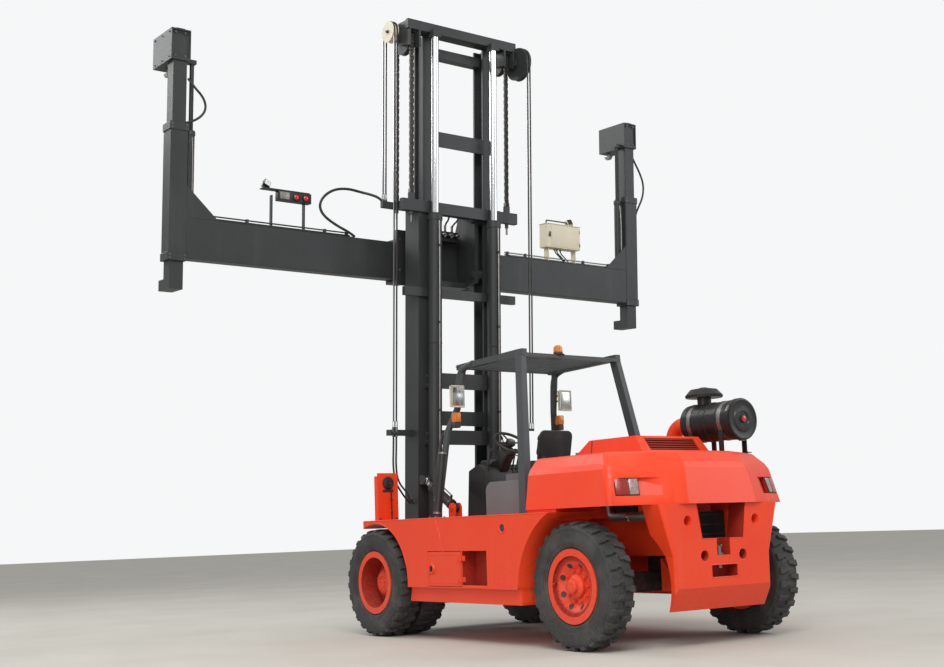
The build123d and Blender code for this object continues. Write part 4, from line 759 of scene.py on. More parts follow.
def addChain(work, path, steps):
    # links along a path of places, by turns laced inside and outside
    links = [chainLink(0), chainLink(1)]
    for number in range(steps):
        joinMesh(work.mesh, links[number % 2], leanTurn @ path(number), keep=True)
    for link in links:
        link.free()


def straightChain(work, x, y, low, high):
    count = int((high - low) / chainSize["pitch"])
    addChain(work, lambda number: Matrix.Translation((x, y, low + number * (high - low) / count)), count)


def hoseEnd(work, x, y, z, material):
    # crimped sleeve and hexagon nut at a hose's end, upright on the mast
    for low, high, radius, sides in ((0.0, 0.055, 0.0135, 16), (0.055, 0.062, 0.012, 16),
                                     (-0.024, 0.0, 0.015, 6)):
        work.drum((x, y, z + low), (x, y, z + high), radius, sides, material)


def bendChain(work, side):
    # the half turn over a sheave
    turns = int(math.pi * sheave["run"] / chainSize["pitch"])
    centre = Matrix.Translation((sheave["x"], side * sheave["y"], sheave["z"]))
    start = Matrix.Translation((-sheave["run"], 0, 0))
    addChain(work, lambda number: centre @ Matrix.Rotation(number * math.pi / turns, 4, "Y") @ start, turns)


rearChains, rearHoses, frontRuns, bends = (Work(leanTurn) for number in range(4))
for s in (1, -1):
    straightChain(rearChains, sheave["x"] - sheave["run"], s * sheave["y"], 4.460, sheave["z"])
    straightChain(frontRuns, sheave["x"] + sheave["run"], s * sheave["y"], hose["front"], sheave["z"])
    bendChain(bends, s)
for (x, y, z), run in pulleys:
    for across in (y + offset for offset in hosePair):
        rearHoses.drum((x - run, across, hose["clamp"]), (x - run, across, z), hose["radius"], 12, 2)
        hoseEnd(rearHoses, x - run, across, hose["clamp"] + 0.025, 3)
        steps = 17 if y > 0 else 13
        if y > 0:
            frontRuns.drum((x + run, across, hose["front"]), (x + run, across, z), hose["radius"], 12, 2)
            hoseEnd(frontRuns, x + run, across, hose["front"] + 0.025, 3)
        bends.tube([(x - run * math.cos(math.pi * step / 16), across, z + run * math.sin(math.pi * step / 16))
                    for step in range(steps)], hose["radius"], material=2)
chainFinish = [chainSteel, steel, hoseRubber, chrome]


def stretched(work, name, slot, replaced=None):
    # a piece that runs between two bodies, from a point on the first to one on the second; it is put on
    # neither and fixed where it stands
    piece = work.finish(name, None, chainFinish, slot)
    if replaced:
        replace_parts(piece, replaced)
    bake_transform(piece)


stretched(rearChains, "rear_chains", "steel",
          "rear_strands")
stretched(rearHoses, "rear_hoses", "rubber")
stretched(frontRuns, "front_chains_and_hoses", "steel",
          "front_strands")
bends.finish("chain_and_hose_bends", "inner_mast", chainFinish, "steel")
print("chains and hoses made")


# Seat: a moulded shell, a swollen cushion and a swollen back

seatCloth = rubbery("seat cover", (0.012, 0.012, 0.012), (0.06, 0.055, 0.05), 0.20, 0.60, 500.0)
coverGrey = enamel("cover enamel", (0.135, 0.141, 0.144), (0.160, 0.165, 0.168), 0.20, 0.4, 0.42, 0.08)
nodes["seat_covers"].data.materials.clear()
nodes["seat_covers"].data.materials.append(coverGrey)
padSize = {"corner": 0.055, "rounding": 0.020, "voxel": 0.006, "pressure": 4.0, "frames": 20, "cap": 0.012,
           "seamDepth": 0.007, "seamWidth": 0.006}


def swollen(name, low, high, place, seams):
    # cloth blown up by pressure from a rounded block, then its sewn channels pressed in
    mesh = bmesh.new()
    addPanel(mesh, low, high, padSize["corner"], rounding=padSize["rounding"])
    data = bpy.data.meshes.new(name)
    mesh.to_mesh(data)
    mesh.free()
    pad = bpy.data.objects.new(name, data)
    bpy.context.scene.collection.objects.link(pad)
    remesh = pad.modifiers.new("skin", "REMESH")
    remesh.mode = "VOXEL"
    remesh.voxel_size = padSize["voxel"]
    skin = bpy.data.meshes.new_from_object(pad.evaluated_get(bpy.context.evaluated_depsgraph_get()))
    pad.modifiers.clear()
    pad.data = skin
    start = [vertex.co.copy() for vertex in skin.vertices]
    cloth = pad.modifiers.new("stuffing", "CLOTH")
    cloth.settings.use_pressure = True
    cloth.settings.uniform_pressure_force = padSize["pressure"]
    cloth.settings.effector_weights.gravity = 0.0
    cloth.point_cache.frame_start, cloth.point_cache.frame_end = 1, padSize["frames"]
    for number in range(1, padSize["frames"] + 1):
        bpy.context.scene.frame_set(number)
    blown = bpy.data.meshes.new_from_object(pad.evaluated_get(bpy.context.evaluated_depsgraph_get()))
    pad.modifiers.clear()
    pad.data = blown
    bpy.context.scene.frame_set(1)
    middle = (low[2] + high[2]) / 2
    for vertex, was in zip(pad.data.vertices, start):
        moved = vertex.co - was
        if moved.length > padSize["cap"]:
            vertex.co = was + moved.normalized() * padSize["cap"]
        if vertex.co.z > middle:
            depth = max(math.exp(-((vertex.co[axis] - at) / padSize["seamWidth"]) ** 2) for axis, at in seams)
            vertex.co.z -= padSize["seamDepth"] * depth * min(1.0, (vertex.co.z - middle) / 0.02)
    pad.data.transform(place)
    pad.data.materials.append(seatCloth)
    pad.data.shade_smooth()
    finer = pad.modifiers.new("finer", "SUBSURF")
    finer.levels = finer.render_levels = 1
    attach(pad, "truck")


backLean = math.atan2(0.07, 0.32)
backPlace = groundMove @ Matrix.Translation((1.463, 0, 1.745))
backPlace = backPlace @ Matrix.Rotation(math.pi / 2 - backLean, 4, "Y")
swollen("seat_cushion", (-0.155, -0.188, 0.0), (0.155, 0.188, 0.075),
        groundMove @ Matrix.Translation((1.690, 0, 1.525)), [(1, -0.085), (1, 0.085), (0, -0.06)])
swollen("seat_backrest", (-0.118, -0.182, -0.022), (0.118, 0.182, 0.035), backPlace,
        [(1, -0.085), (1, 0.085), (0, -0.04)])
work = Work()
work.block((1.405, -0.195, 1.501), (1.855, 0.195, 1.524), 0.006)
addPanel(work.mesh, (-0.150, -0.198, -0.050), (0.165, 0.198, -0.024), 0.060, backPlace, 0.009)
for s in (1, -1):
    work.block((1.400, s * 0.160 - 0.012, 1.510), (1.470, s * 0.160 + 0.012, 1.640))
work.drum((1.630, 0.200, 1.520), (1.735, 0.205, 1.520), 0.008, 12)
work.drum((1.720, 0.205, 1.520), (1.745, 0.206, 1.520), 0.013, 14)
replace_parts(work.finish("seat_shell", "truck", [blackPlastic], "cushion"), "seat")
print("seat made")


# Mast: cylinder heads, pipes, chain anchors, welds and bolts

mast = {"liftX": 2.947, "liftY": 0.380, "headZ": 4.240, "rollerX": 3.155, "clampY": 0.755,
        "crossMembers": ((1.860, 2.010), (2.440, 2.600), (3.385, 3.475), (4.270, 4.390))}
clampX = pulleys[0][0][0] - pulleys[0][1]
outer, inner, carriage = (Work(leanTurn) for number in range(3))
rearX, frontX = sheave["x"] - sheave["run"], sheave["x"] + sheave["run"]
for s in (1, -1):
    x, y = mast["liftX"], s * mast["liftY"]
    outer.turned((x, y, mast["headZ"]), (0, 0, 1), [
        (-0.060, 0.0725), (-0.056, 0.079), (-0.004, 0.079), (0.004, 0.070), (0.018, 0.068), (0.022, 0.046),
        (0.022, 0.0405), (-0.002, 0.0405), (-0.002, 0.060), (-0.060, 0.0725)], 40)
    # weld rings, port block and the supply pipe up the barrel's back
    for level in (0.74, 1.45, 2.9):
        outer.turned((x, y, level), (0, 0, 1), [(-0.006, 0.0715), (0.0, 0.0765), (0.006, 0.0715),
                                                (-0.006, 0.0715)])
    outer.block((x - 0.100, y - 0.022, 0.755), (x - 0.062, y + 0.022, 0.825))
    outer.tube([(x - 0.082, y, 0.82), (x - 0.084, y, 1.2), (x - 0.084, y, 3.2), (x - 0.084, y, 4.0),
                (x - 0.078, y, 4.17)], 0.009, material=1)
    for level in (1.3, 2.2, 3.1, 3.9):
        outer.block((x - 0.098, y - 0.018, level), (x - 0.066, y + 0.018, level + 0.022), 0.002)
    # welds where the cross members meet the rails, and bolts
    for level in sum(mast["crossMembers"], ()):
        outer.drum((3.003, s * 0.36, level), (3.003, s * 0.45, level), 0.006, 8)
    for level in (1.895, 1.975, 2.475, 2.565):
        outer.bolts([(3.000, s * across, level) for across in (0.375, 0.435)], (-1, 0, 0), 0.013, 1)
    outer.bolts([(mast["rollerX"], s * 0.530, level) for level in (0.9, 1.3)], (0, s, 0), 0.020, 1)
    # threaded anchors of the chains with their lock nuts, on the mast's upper band and the carriage's arm
    y = s * sheave["y"]
    for work, x, low, high, nuts in ((outer, rearX, 4.150, 4.270, (4.232, 4.256)),
                                     (carriage, frontX, 4.230, 4.330, (4.300, 4.320))):
        work.drum((x, y, low), (x, y, high), 0.011, 12, 1)
        for level in nuts:
            work.drum((x, y, level - 0.010), (x, y, level + 0.010), 0.020, 6, 1)
    for across in (y - 0.026, y + 0.026):
        outer.block((rearX - 0.016, across - 0.003, 4.440), (rearX + 0.016, across + 0.003, 4.500), 0.001, 1)
    carriage.block((frontX - 0.020, y - 0.026, 4.398), (frontX + 0.020, y + 0.026, 4.425))
    # roller ends beside the rails, slide pads, and the sheaves' bolts
    for level in (2.10, 2.62):
        inner.turned((mast["rollerX"], s * 0.4265, level), (0, s, 0), [
            (-0.004, 0.064), (0.010, 0.064), (0.013, 0.052), (0.013, 0.026), (0.020, 0.022),
            (0.020, 0.0)], material=1)
    for level in (4.62, 5.20, 5.78):
        inner.block((3.075, s * 0.424 - 0.003, level), (3.235, s * 0.424 + 0.003, level + 0.012), 0.002)
    for out in (-1, 1):
        inner.bolts([(sheave["x"], s * (sheave["y"] + out * 0.0754), sheave["z"])], (0, out, 0), 0.030, 1)
    inner.bolts([(sheave["x"] - back, s * 0.709, 6.24) for back in (0.10, 0.06)], (0, s, 0), 0.012, 1)
    for level in (3.690, 4.290):
        carriage.turned((mast["rollerX"], s * 0.250, level), (0, -s, 0), [
            (-0.002, 0.040), (0.012, 0.040), (0.016, 0.030), (0.016, 0.0)], 28)
for (x, y, z), run in pulleys:
    s = 1 if y > 0 else -1
    inner.bolts([(x, y + s * 0.036, z)], (0, s, 0), 0.026, 1)
# hose clamp on its arm: two sleeves, a block and its bolts
y = mast["clampY"]
for across in (y - 0.017, y + 0.017):
    outer.drum((clampX, across, 1.935), (clampX, across, 2.03), 0.0145, 16, 1)
outer.block((3.085, y - 0.033, 1.958), (3.150, y + 0.033, 1.988), 0.004)
outer.bolts([(3.105, y, 1.988), (3.138, y, 1.988)], (0, 0, 1), 0.010, 1)
# carriage: valve block with solenoids, its hoses and the hook plates' bolts
carriage.block((3.330, -0.190, 4.060), (3.430, 0.190, 4.170), 0.006)
for y in (-0.135, -0.045, 0.045, 0.135):
    carriage.drum((3.325, y, 4.115), (3.250, y, 4.115), 0.021, 16, 2)
    carriage.drum((3.250, y, 4.115), (3.240, y, 4.115), 0.012, 6, 1)
    carriage.tube([(3.38, y, 4.17), (3.38, y, 4.23), (3.37, y * 1.15, 4.27), (3.33, y * 1.3, 4.30),
                   (3.325, y * 1.4, 4.345)], 0.0095, material=2)
    hoseEnd(carriage, 3.38, y, 4.185, 1)
for level in (3.72, 4.05):
    carriage.bolts([(3.455, y, level) for y in (-0.48, -0.40, 0.40, 0.48)], (-1, 0, 0), 0.018, 1)
mastFinish = [mastGrey, steel, blackPlastic]
outer.finish("outer_mast_fittings", "outer_mast", mastFinish, "mast_paint")
inner.finish("inner_mast_fittings", "inner_mast", mastFinish, "mast_paint")
carriage.finish("carriage_fittings", "carriage", mastFinish, "mast_paint")
print("mast fittings made")


# Spreader: beam seams and pipes, cylinder heads, lamps and the control box's door

spreader = {"rear": 3.545, "low": 3.630, "high": 4.030, "cylinderX": 3.6325, "cylinderY": 2.800,
            "pipeX": 3.600}
work = Work(leanTurn)
rear = spreader["rear"]
for s in (1, -1):
    # weld seams along the beam and round the columns' collars
    for level in (spreader["low"], spreader["high"]):
        work.drum((rear + 0.001, s * 1.00, level), (rear + 0.001, s * 2.84, level), 0.004, 8)
    for level in (3.675, 4.875):
        work.drum((rear, s * 2.855, level), (rear, s * 3.045, level), 0.005, 8)
    work.drum((rear, s * 2.852, 3.68), (rear, s * 2.852, 4.87), 0.004, 8)
    # hard pipes along the beam with clips
    x = spreader["pipeX"]
    for level in (4.052, 4.078):
        work.drum((x, s * 1.02, level), (x, s * 2.68, level), 0.008, 10, 1)
    for y in (1.06, 1.32, 2.2, 2.6):
        work.block((x - 0.015, s * y - 0.015, 4.029), (x + 0.015, s * y + 0.015, 4.090), 0.002)
    # cover screws of the columns
    work.bolts([(3.538, s * y, level) for y in (2.875, 3.025) for level in (3.62, 3.655, 4.895, 4.93)],
               (-1, 0, 0), 0.010, 1)
    # gland, port and pipe of the leg's cylinder
    y = s * spreader["cylinderY"]
    work.turned((spreader["cylinderX"], y, 4.900), (0, 0, 1), [
        (-0.045, 0.0405), (-0.040, 0.046), (-0.006, 0.046), (0.004, 0.040), (0.010, 0.030), (0.010, 0.0235),
        (-0.002, 0.0235), (-0.002, 0.030), (-0.045, 0.0405)])
    work.block((3.560, y - 0.015, 4.120), (3.595, y + 0.015, 4.165))
    work.tube([(3.572, y, 4.165), (3.570, y, 4.40), (3.570, y, 4.70), (3.590, y, 4.83)], 0.007, material=1)
work.finish("spreader_fittings", "spreader", [mastGrey, steel], "mast_paint")

# lamp bar: a plate over a housing with two lamps that face the operator, a work lamp at its end
lampBar = {"rear": 3.5875, "front": 3.6775, "plateTop": 4.442, "near": 1.480, "far": 1.856, "end": 2.030,
           "lamps": (1.543, 1.653), "lampZ": 4.382, "lens": 0.030, "lean": 0.35}


def workLamp(work, spot, tilt):
    # a black box lamp with a clear face on a stirrup
    place = leanTurn @ Matrix.Translation(spot)
    place = place @ Matrix.Rotation(tilt, 4, "X") @ Matrix.Rotation(lampBar["lean"], 4, "Y")
    parts = [((-0.030, -0.038, 0.020), (0.036, 0.038, 0.096), 0.008, 0),
             ((-0.034, -0.032, 0.026), (-0.028, 0.032, 0.090), 0.002, 2),
             ((-0.008, -0.044, 0.0), (0.008, 0.044, 0.006), 0.001, 3)]
    for y in (-0.034, -0.0145, 0.005, 0.0245):
        parts.append(((0.034, y, 0.026), (0.044, y + 0.004, 0.090), 0.001, 0))
    for y in (0.041, -0.041):
        parts.append(((-0.008, y - 0.003, 0.0), (0.008, y + 0.003, 0.062), 0.001, 3))
    for low, high, rounding, material in parts:
        addBlock(work.mesh, low, high, place, rounding, material)


work = Work(leanTurn)
rear, front = lampBar["rear"], lampBar["front"]
work.block((rear, 1.500, 4.430), (front, lampBar["end"], lampBar["plateTop"]), 0.002)
work.block((rear + 0.004, lampBar["near"], 4.330), (front - 0.004, lampBar["far"], 4.434), 0.006)
for y in lampBar["lamps"]:
    centre = (rear + 0.002, y, lampBar["lampZ"])
    work.turned(centre, (-1, 0, 0), [(-0.004, 0.040), (0.010, 0.040), (0.012, 0.033), (0.004, 0.031)])
    work.turned(centre, (-1, 0, 0), [(0.003, lampBar["lens"]), (0.008, 0.024), (0.011, 0.012), (0.012, 0.0)],
                material=1)
work.block((rear - 0.003, 1.735, 4.345), (rear + 0.006, 1.842, 4.420), 0.003, 3)
workLamp(work, (3.6325, 1.990, lampBar["plateTop"]), 0.45)
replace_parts(work.finish("spreader_lamp_bar", "spreader", [blackPlastic, redLens, clearLens, steel], "lamp"),
            "spreader_lamps")

# control box: door seam, hinges, latch, top rail, lamp and the cables below it
controlBox = {"rear": 3.5625, "front": 3.7025, "right": -2.130, "left": -1.620, "low": 4.200, "high": 4.480}
work = Work(leanTurn)
rear, front, right, left, low, high = controlBox.values()
work.block((rear - 0.004, right + 0.015, low + 0.012), (rear + 0.002, left - 0.070, high - 0.012), 0.002)
work.block((rear - 0.008, right - 0.006, high - 0.002), (front + 0.008, left + 0.006, high + 0.006), 0.002)
for level in (4.26, 4.42):
    work.drum((rear - 0.006, right + 0.010, level - 0.02), (rear - 0.006, right + 0.010, level + 0.02),
              0.006, 10, 1)
work.drum((rear + 0.001, left - 0.040, 4.345), (rear - 0.010, left - 0.040, 4.345), 0.014, 20, 1)
work.block((rear - 0.018, left - 0.050, 4.325), (rear - 0.008, left - 0.030, 4.385), 0.003, 2)
work.tube([(3.60, y, z) for y, z in ((-1.640, 4.482), (-1.640, 4.520), (-1.650, 4.524), (-1.940, 4.524),
                                     (-1.960, 4.520), (-1.960, 4.482))], 0.008, material=2)
workLamp(work, (3.6325, -2.040, 4.482), -0.2)
for x, y in ((3.62, -1.78), (3.64, -1.83), (3.66, -1.90)):
    work.tube([(x, y, 4.202), (x, y, 4.160), (x - 0.02, y - 0.05, 4.110), (x - 0.03, y - 0.10, 4.060),
               (x - 0.03, y - 0.14, 4.032)], 0.007, material=2)
    work.drum((x, y, 4.205), (x, y, 4.178), 0.012, 6, 1)
work.finish("control_box_fittings", "spreader", [cream, steel, blackPlastic, steel], "cream")
print("spreader fittings made")


# Soft edges on the CAD pieces: the width of each piece's bevel, in metres

edgeWidths = {"hood": 0.014, "hood_lid": 0.010, "counterweight": 0.010, "side_bodies": 0.006, "guard": 0.008,
              "frame": 0.004, "lamp_uprights": 0.003, "seat_covers": 0.010, "dash": 0.012, "carriage": 0.005,
              "spreader_beam": 0.006, "leg_left": 0.005, "leg_right": 0.005, "control_box": 0.006,
              "steer_axle": 0.005}
sharpest = {"joined": 0.00002, "angle": 34}
for name, width in edgeWidths.items():
    weld = nodes[name].modifiers.new("joined corners", "WELD")
    weld.merge_threshold = sharpest["joined"]
    bevel = nodes[name].modifiers.new("soft edges", "BEVEL")
    bevel.width = width
    bevel.segments = 2
    bevel.limit_method = "ANGLE"
    bevel.angle_limit = math.radians(sharpest["angle"])
    bevel.harden_normals = True
print("edges softened")


# Side bodies: step treads, hinge leaves, beads, filler ring and the door's latch

bodySide = {"half": 1.150, "stepRear": 1.020, "stepFront": 1.380, "stepLow": 0.490, "treads": 7,
            "seamRadius": 1.190, "archRadius": 0.566, "filler": (0.781, 0.989), "hinges": (0.552, 0.735),
            "latch": (1.858, 0.645)}
work, door = Work(), Work()
half, stepRear, stepLow = bodySide["half"], bodySide["stepRear"], bodySide["stepLow"]


def arc(side, y, radius, first, step):
    # nine points round the front axle, by degrees above the level
    angles = [math.radians(first + step * number) for number in range(9)]
    return [(wheelbase - radius * math.cos(angle), side * y,
             axleZ + radius * math.sin(angle)) for angle in angles]


for s in (1, -1):
    # tread bars and a turned-up edge on the step
    for row in range(bodySide["treads"]):
        x = stepRear + 0.036 + row * 0.048
        work.block((x - 0.005, s * (half - 0.135), stepLow - 0.001),
                   (x + 0.005, s * (half - 0.020), stepLow + 0.006), 0.001)
    work.block((stepRear, s * (half - 0.006), stepLow - 0.012),
               (bodySide["stepFront"], s * (half + 0.004), stepLow + 0.014))
    # bead along the deck's edge, the weld of the fender plate, and the edge bar round the arch
    work.tube([(x, s * 1.147, 1.097) for x in (0.200, 1.600, 3.030)], 0.006)
    work.tube(arc(s, half + 0.0005, bodySide["seamRadius"], 30, -2.2), 0.0045)
    work.tube(arc(s, half - 0.004, bodySide["archRadius"], 18, 9), 0.007)
    x, z = bodySide["filler"]
    work.turned((x, s * half, z), (0, s, 0), [(-0.002, 0.046), (0.005, 0.044), (0.007, 0.038),
                                              (0.001, 0.032)])
    work.turned((x, s * half, z), (0, s, 0), [(0.0012, 0.033), (0.0012, 0.0)], material=1)
    # guard feet
    for (x1, y1), (x2, y2), top in (((0.850, 0.705), (1.010, 0.835), 1.112),
                                    ((2.190, 0.740), (2.322, 0.872), 1.110)):
        work.block((x1, s * y1, 1.0995), (x2, s * y2, top), 0.003, 2)
        inset = 0.016 if x1 > 2 else 0.017
        work.bolts([(x, s * y, top) for x in (x1 + 0.016, x2 - 0.016) for y in (y1 + inset, y2 - inset)],
                   (0, 0, 1), 0.013, 3)
for level in bodySide["hinges"]:
    steps = (level - 0.012, level + 0.012)
    work.block((1.332, half, level - 0.022), (1.386, half + 0.007, level + 0.022), 0.002)
    work.bolts([(1.348, half + 0.007, z) for z in steps], (0, 1, 0), 0.006, 3)
    door.bolts([(1.436, half + 0.008, z) for z in steps], (0, 1, 0), 0.006, 1)
    door.drum((1.388, 1.162, level - 0.025), (1.388, 1.162, level + 0.025), 0.0095, 14)
# the door's pull latch in its dish, and the pressed frame round the door's skin
x, z = bodySide["latch"]
door.turned((x, half, z), (0, 1, 0), [(-0.001, 0.050), (0.005, 0.048), (0.016, 0.042), (0.016, 0.030),
                                      (0.004, 0.027)], 28)
# painted shade: a black disc on the dish's floor stands for its shaded hollow
door.turned((x, half + 0.004, z), (0, 1, 0), [(0.0, 0.029), (0.0, 0.0)], 28, 2)
door.block((x - 0.012, 1.152, z - 0.023), (x + 0.012, 1.172, z + 0.023), 0.004, 2)
for (x1, z1), (x2, z2) in (((1.420, 0.515), (1.905, 0.521)), ((1.420, 0.766), (1.905, 0.772)),
                           ((1.420, 0.515), (1.426, 0.772)), ((1.899, 0.515), (1.905, 0.772))):
    door.block((x1, 1.149, z1), (x2, 1.1525, z2), 0.001)
work.finish("side_body_fittings", "truck", [red, blackPlastic, guardGrey, steel], "body_paint")
door.finish("side_door_fittings", "side_door", [red, steel, blackPlastic], "body_paint")
print("side bodies dressed")


# Overhead guard: bent corner tubes, grab bars, the posts' sleeves and the roof's bolts

guardBar = {"corner": 0.031, "grab": 0.014, "sleeve": 0.0365, "bolt": 0.010,
            "postTop": (2.2438, 0.7275, 1.720), "postFoot": (2.2552, 0.8010, 1.150)}
work = Work()
for s in (1, -1):
    work.tube([(2.1535, s * 0.6010, 2.130), (2.140, s * 0.597, 2.350), (2.110, s * 0.590, 2.490),
               (2.030, s * 0.585, 2.538), (1.900, s * 0.580, 2.560)], guardBar["corner"], 24)
    work.tube([(2.236, s * 0.672, 1.915), (2.285, s * 0.676, 1.912), (2.312, s * 0.690, 1.880),
               (2.330, s * 0.745, 1.560), (2.330, s * 0.778, 1.310), (2.316, s * 0.790, 1.262),
               (2.262, s * 0.792, 1.255)], guardBar["grab"], 16, 1)
    ends = [(x, s * y, z) for x, y, z in (guardBar["postTop"], guardBar["postFoot"])]
    work.drum(*ends, guardBar["sleeve"], 28, 1)
    for end in ends:
        work.band(end, (0.0198, s * 0.128, -0.9916), 0.010, 0.036, 0.0405, 28, 2)
    # brackets of the signal lamps and of the mirrors
    work.drum((2.150, s * 0.645, 2.010), (2.205, s * 0.645, 2.010), 0.011, 14, 1)
    work.block((2.040, s * 0.660, 2.235), (2.052, s * 0.690, 2.270), 0.003, 1)
    work.tube([(2.150, s * 0.603, 2.252), (2.100, s * 0.640, 2.252), (2.052, s * 0.675, 2.252)], 0.008, 10, 1)
    # bolts of the roof beams
    work.bolts([(x, s * 0.601, 2.552) for x in (1.118, 1.162, 2.098, 2.142)], (0, s, 0), guardBar["bolt"], 2)
# the beacon's foot
work.turned((1.140, 0.150, 2.565), (0, 0, 1), [(-0.002, 0.060), (0.006, 0.060), (0.010, 0.047)], material=1)
work.finish("guard_fittings", "truck", [guardGrey, blackPlastic, steel], "guard_paint")
print("guard dressed")


# Dash: column shroud, hub cap, instrument pod, lever boots and pedal pads

columnFoot, wheelHub = Vector((2.290, 0, 1.580)), Vector((2.110, 0, 1.820))
leverFoot, leverTop = Vector((2.260, 0, 1.540)), Vector((2.190, 0, 1.730))
leverYs = (-0.215, -0.165, -0.115, 0.190)
work = Work()
aim = (wheelHub - columnFoot).normalized()
columnPlace = groundMove @ Matrix.Translation(columnFoot) @ aim.to_track_quat("Z", "Y").to_matrix().to_4x4()
addBlock(work.mesh, (-0.062, -0.070, -0.020), (0.060, 0.070, 0.205), columnPlace, 0.022, segments=3)
addBlock(work.mesh, (-0.050, -0.085, 0.195), (0.050, 0.085, 0.250), columnPlace, 0.018, segments=3)
for y in (-0.16, 0.16):
    # stalks beside the wheel
    root, tip, end = (columnPlace @ Vector(spot) for spot in ((0, y * 0.4, 0.225), (0.02, y, 0.245),
                                                              (0.026, y * 1.22, 0.249)))
    addDrum(work.mesh, root, tip, 0.006, 10)
    addDrum(work.mesh, tip, end, 0.012, 14)
work.turned(wheelHub, aim, [(-0.030, 0.034), (-0.012, 0.050), (0.014, 0.050), (0.026, 0.040), (0.028, 0.0)])
work.turned(wheelHub, aim, [(0.026, 0.030), (0.031, 0.028), (0.032, 0.0)], material=1)
# instrument pod with its glass and gauges, on the dash
work.block((2.300, -0.150, 1.585), (2.430, 0.150, 1.665), 0.020, segments=3)
podPlace = groundMove @ Matrix.Translation((2.304, 0, 1.632)) @ Matrix.Rotation(-0.5, 4, "Y")
addBlock(work.mesh, (-0.010, -0.130, -0.036), (0.004, 0.130, 0.036), podPlace, 0.004, 1)
for y in (-0.085, -0.028, 0.028, 0.085):
    addTurned(work.mesh, podPlace @ Vector((-0.011, y, 0)), podPlace.to_3x3() @ Vector((-1, 0, 0)), [
        (-0.001, 0.026), (0.003, 0.025), (0.001, 0.022), (0.001, 0.0)], 24, 2)
for y in leverYs:
    work.turned((2.262, y, 1.534), leverTop - leverFoot, [
        (0.0, 0.026), (0.012, 0.024), (0.018, 0.019), (0.028, 0.020), (0.034, 0.014), (0.046, 0.015),
        (0.054, 0.009)], 20)
    work.turned((2.183, y, 1.744), leverTop - leverFoot, [
        (-0.024, 0.010), (-0.018, 0.018), (0.002, 0.022), (0.018, 0.018), (0.025, 0.0)], 20)
for y in (-0.150, 0.120, 0.190):
    for z in (1.168, 1.184, 1.200, 1.216):
        work.block((2.102, y - 0.026, z), (2.106, y + 0.026, z + 0.007), 0.001)
# rubber mat with ribs on the floor
mat = {"ribs": 14, "rear": 1.660, "pitch": 0.038, "half": 0.260}
for rib in range(mat["ribs"]):
    x = mat["rear"] + rib * mat["pitch"]
    work.block((x - 0.006, -mat["half"], 1.0998), (x + 0.006, mat["half"], 1.1035), 0.001)
work.finish("dash_fittings", "truck", [blackPlastic, coverGrey, mirrorGlass], "plastic")
print("dash dressed")


# Head lamps: bezel, glass, rear boot and cable

headLamp = {"place": (2.960, 0.910, 1.470), "cable": 0.006, "clips": (1.310, 1.190), "bolt": 0.011}
work = Work()
for s in (1, -1):
    x, y, z = headLamp["place"]
    centre = (x, s * y, z)
    work.turned(centre, (1, 0, 0), [(0.050, 0.090), (0.062, 0.097), (0.090, 0.094), (0.092, 0.080),
                                    (0.084, 0.078)], 40, 1)
    work.turned(centre, (1, 0, 0), [(0.084, 0.080), (0.094, 0.060), (0.100, 0.030), (0.102, 0.0)], 40, 2)
    work.turned(centre, (-1, 0, 0), [(0.006, 0.064), (0.014, 0.062), (0.034, 0.046), (0.036, 0.020),
                                     (0.050, 0.017), (0.052, 0.0)])
    # carrier bracket on the upright's rear face, the cable and its clips
    work.block((2.948, s * 0.850, 1.385), (2.961, s * 0.970, 1.405))
    work.tube([(2.912, s * 0.910, 1.470), (2.895, s * 0.908, 1.430), (2.935, s * 0.890, 1.340),
               (2.954, s * 0.872, 1.250), (2.954, s * 0.872, 1.110)], headLamp["cable"])
    for level in headLamp["clips"]:
        work.block((2.944, s * 0.860, level), (2.962, s * 0.884, level + 0.012), 0.002, 3)
    work.bolts([(x, s * across, 1.120) for across in (0.815, 1.005)], (-1, 0, 0), headLamp["bolt"], 3)
work.finish("head_lamp_parts", "truck", [blackPlastic, chrome, clearLens, steel], "lamp")
print("head lamps dressed")


# Tilt cylinders: glands, ports and lock nuts; collars on their anchors and on the mast's trunnions

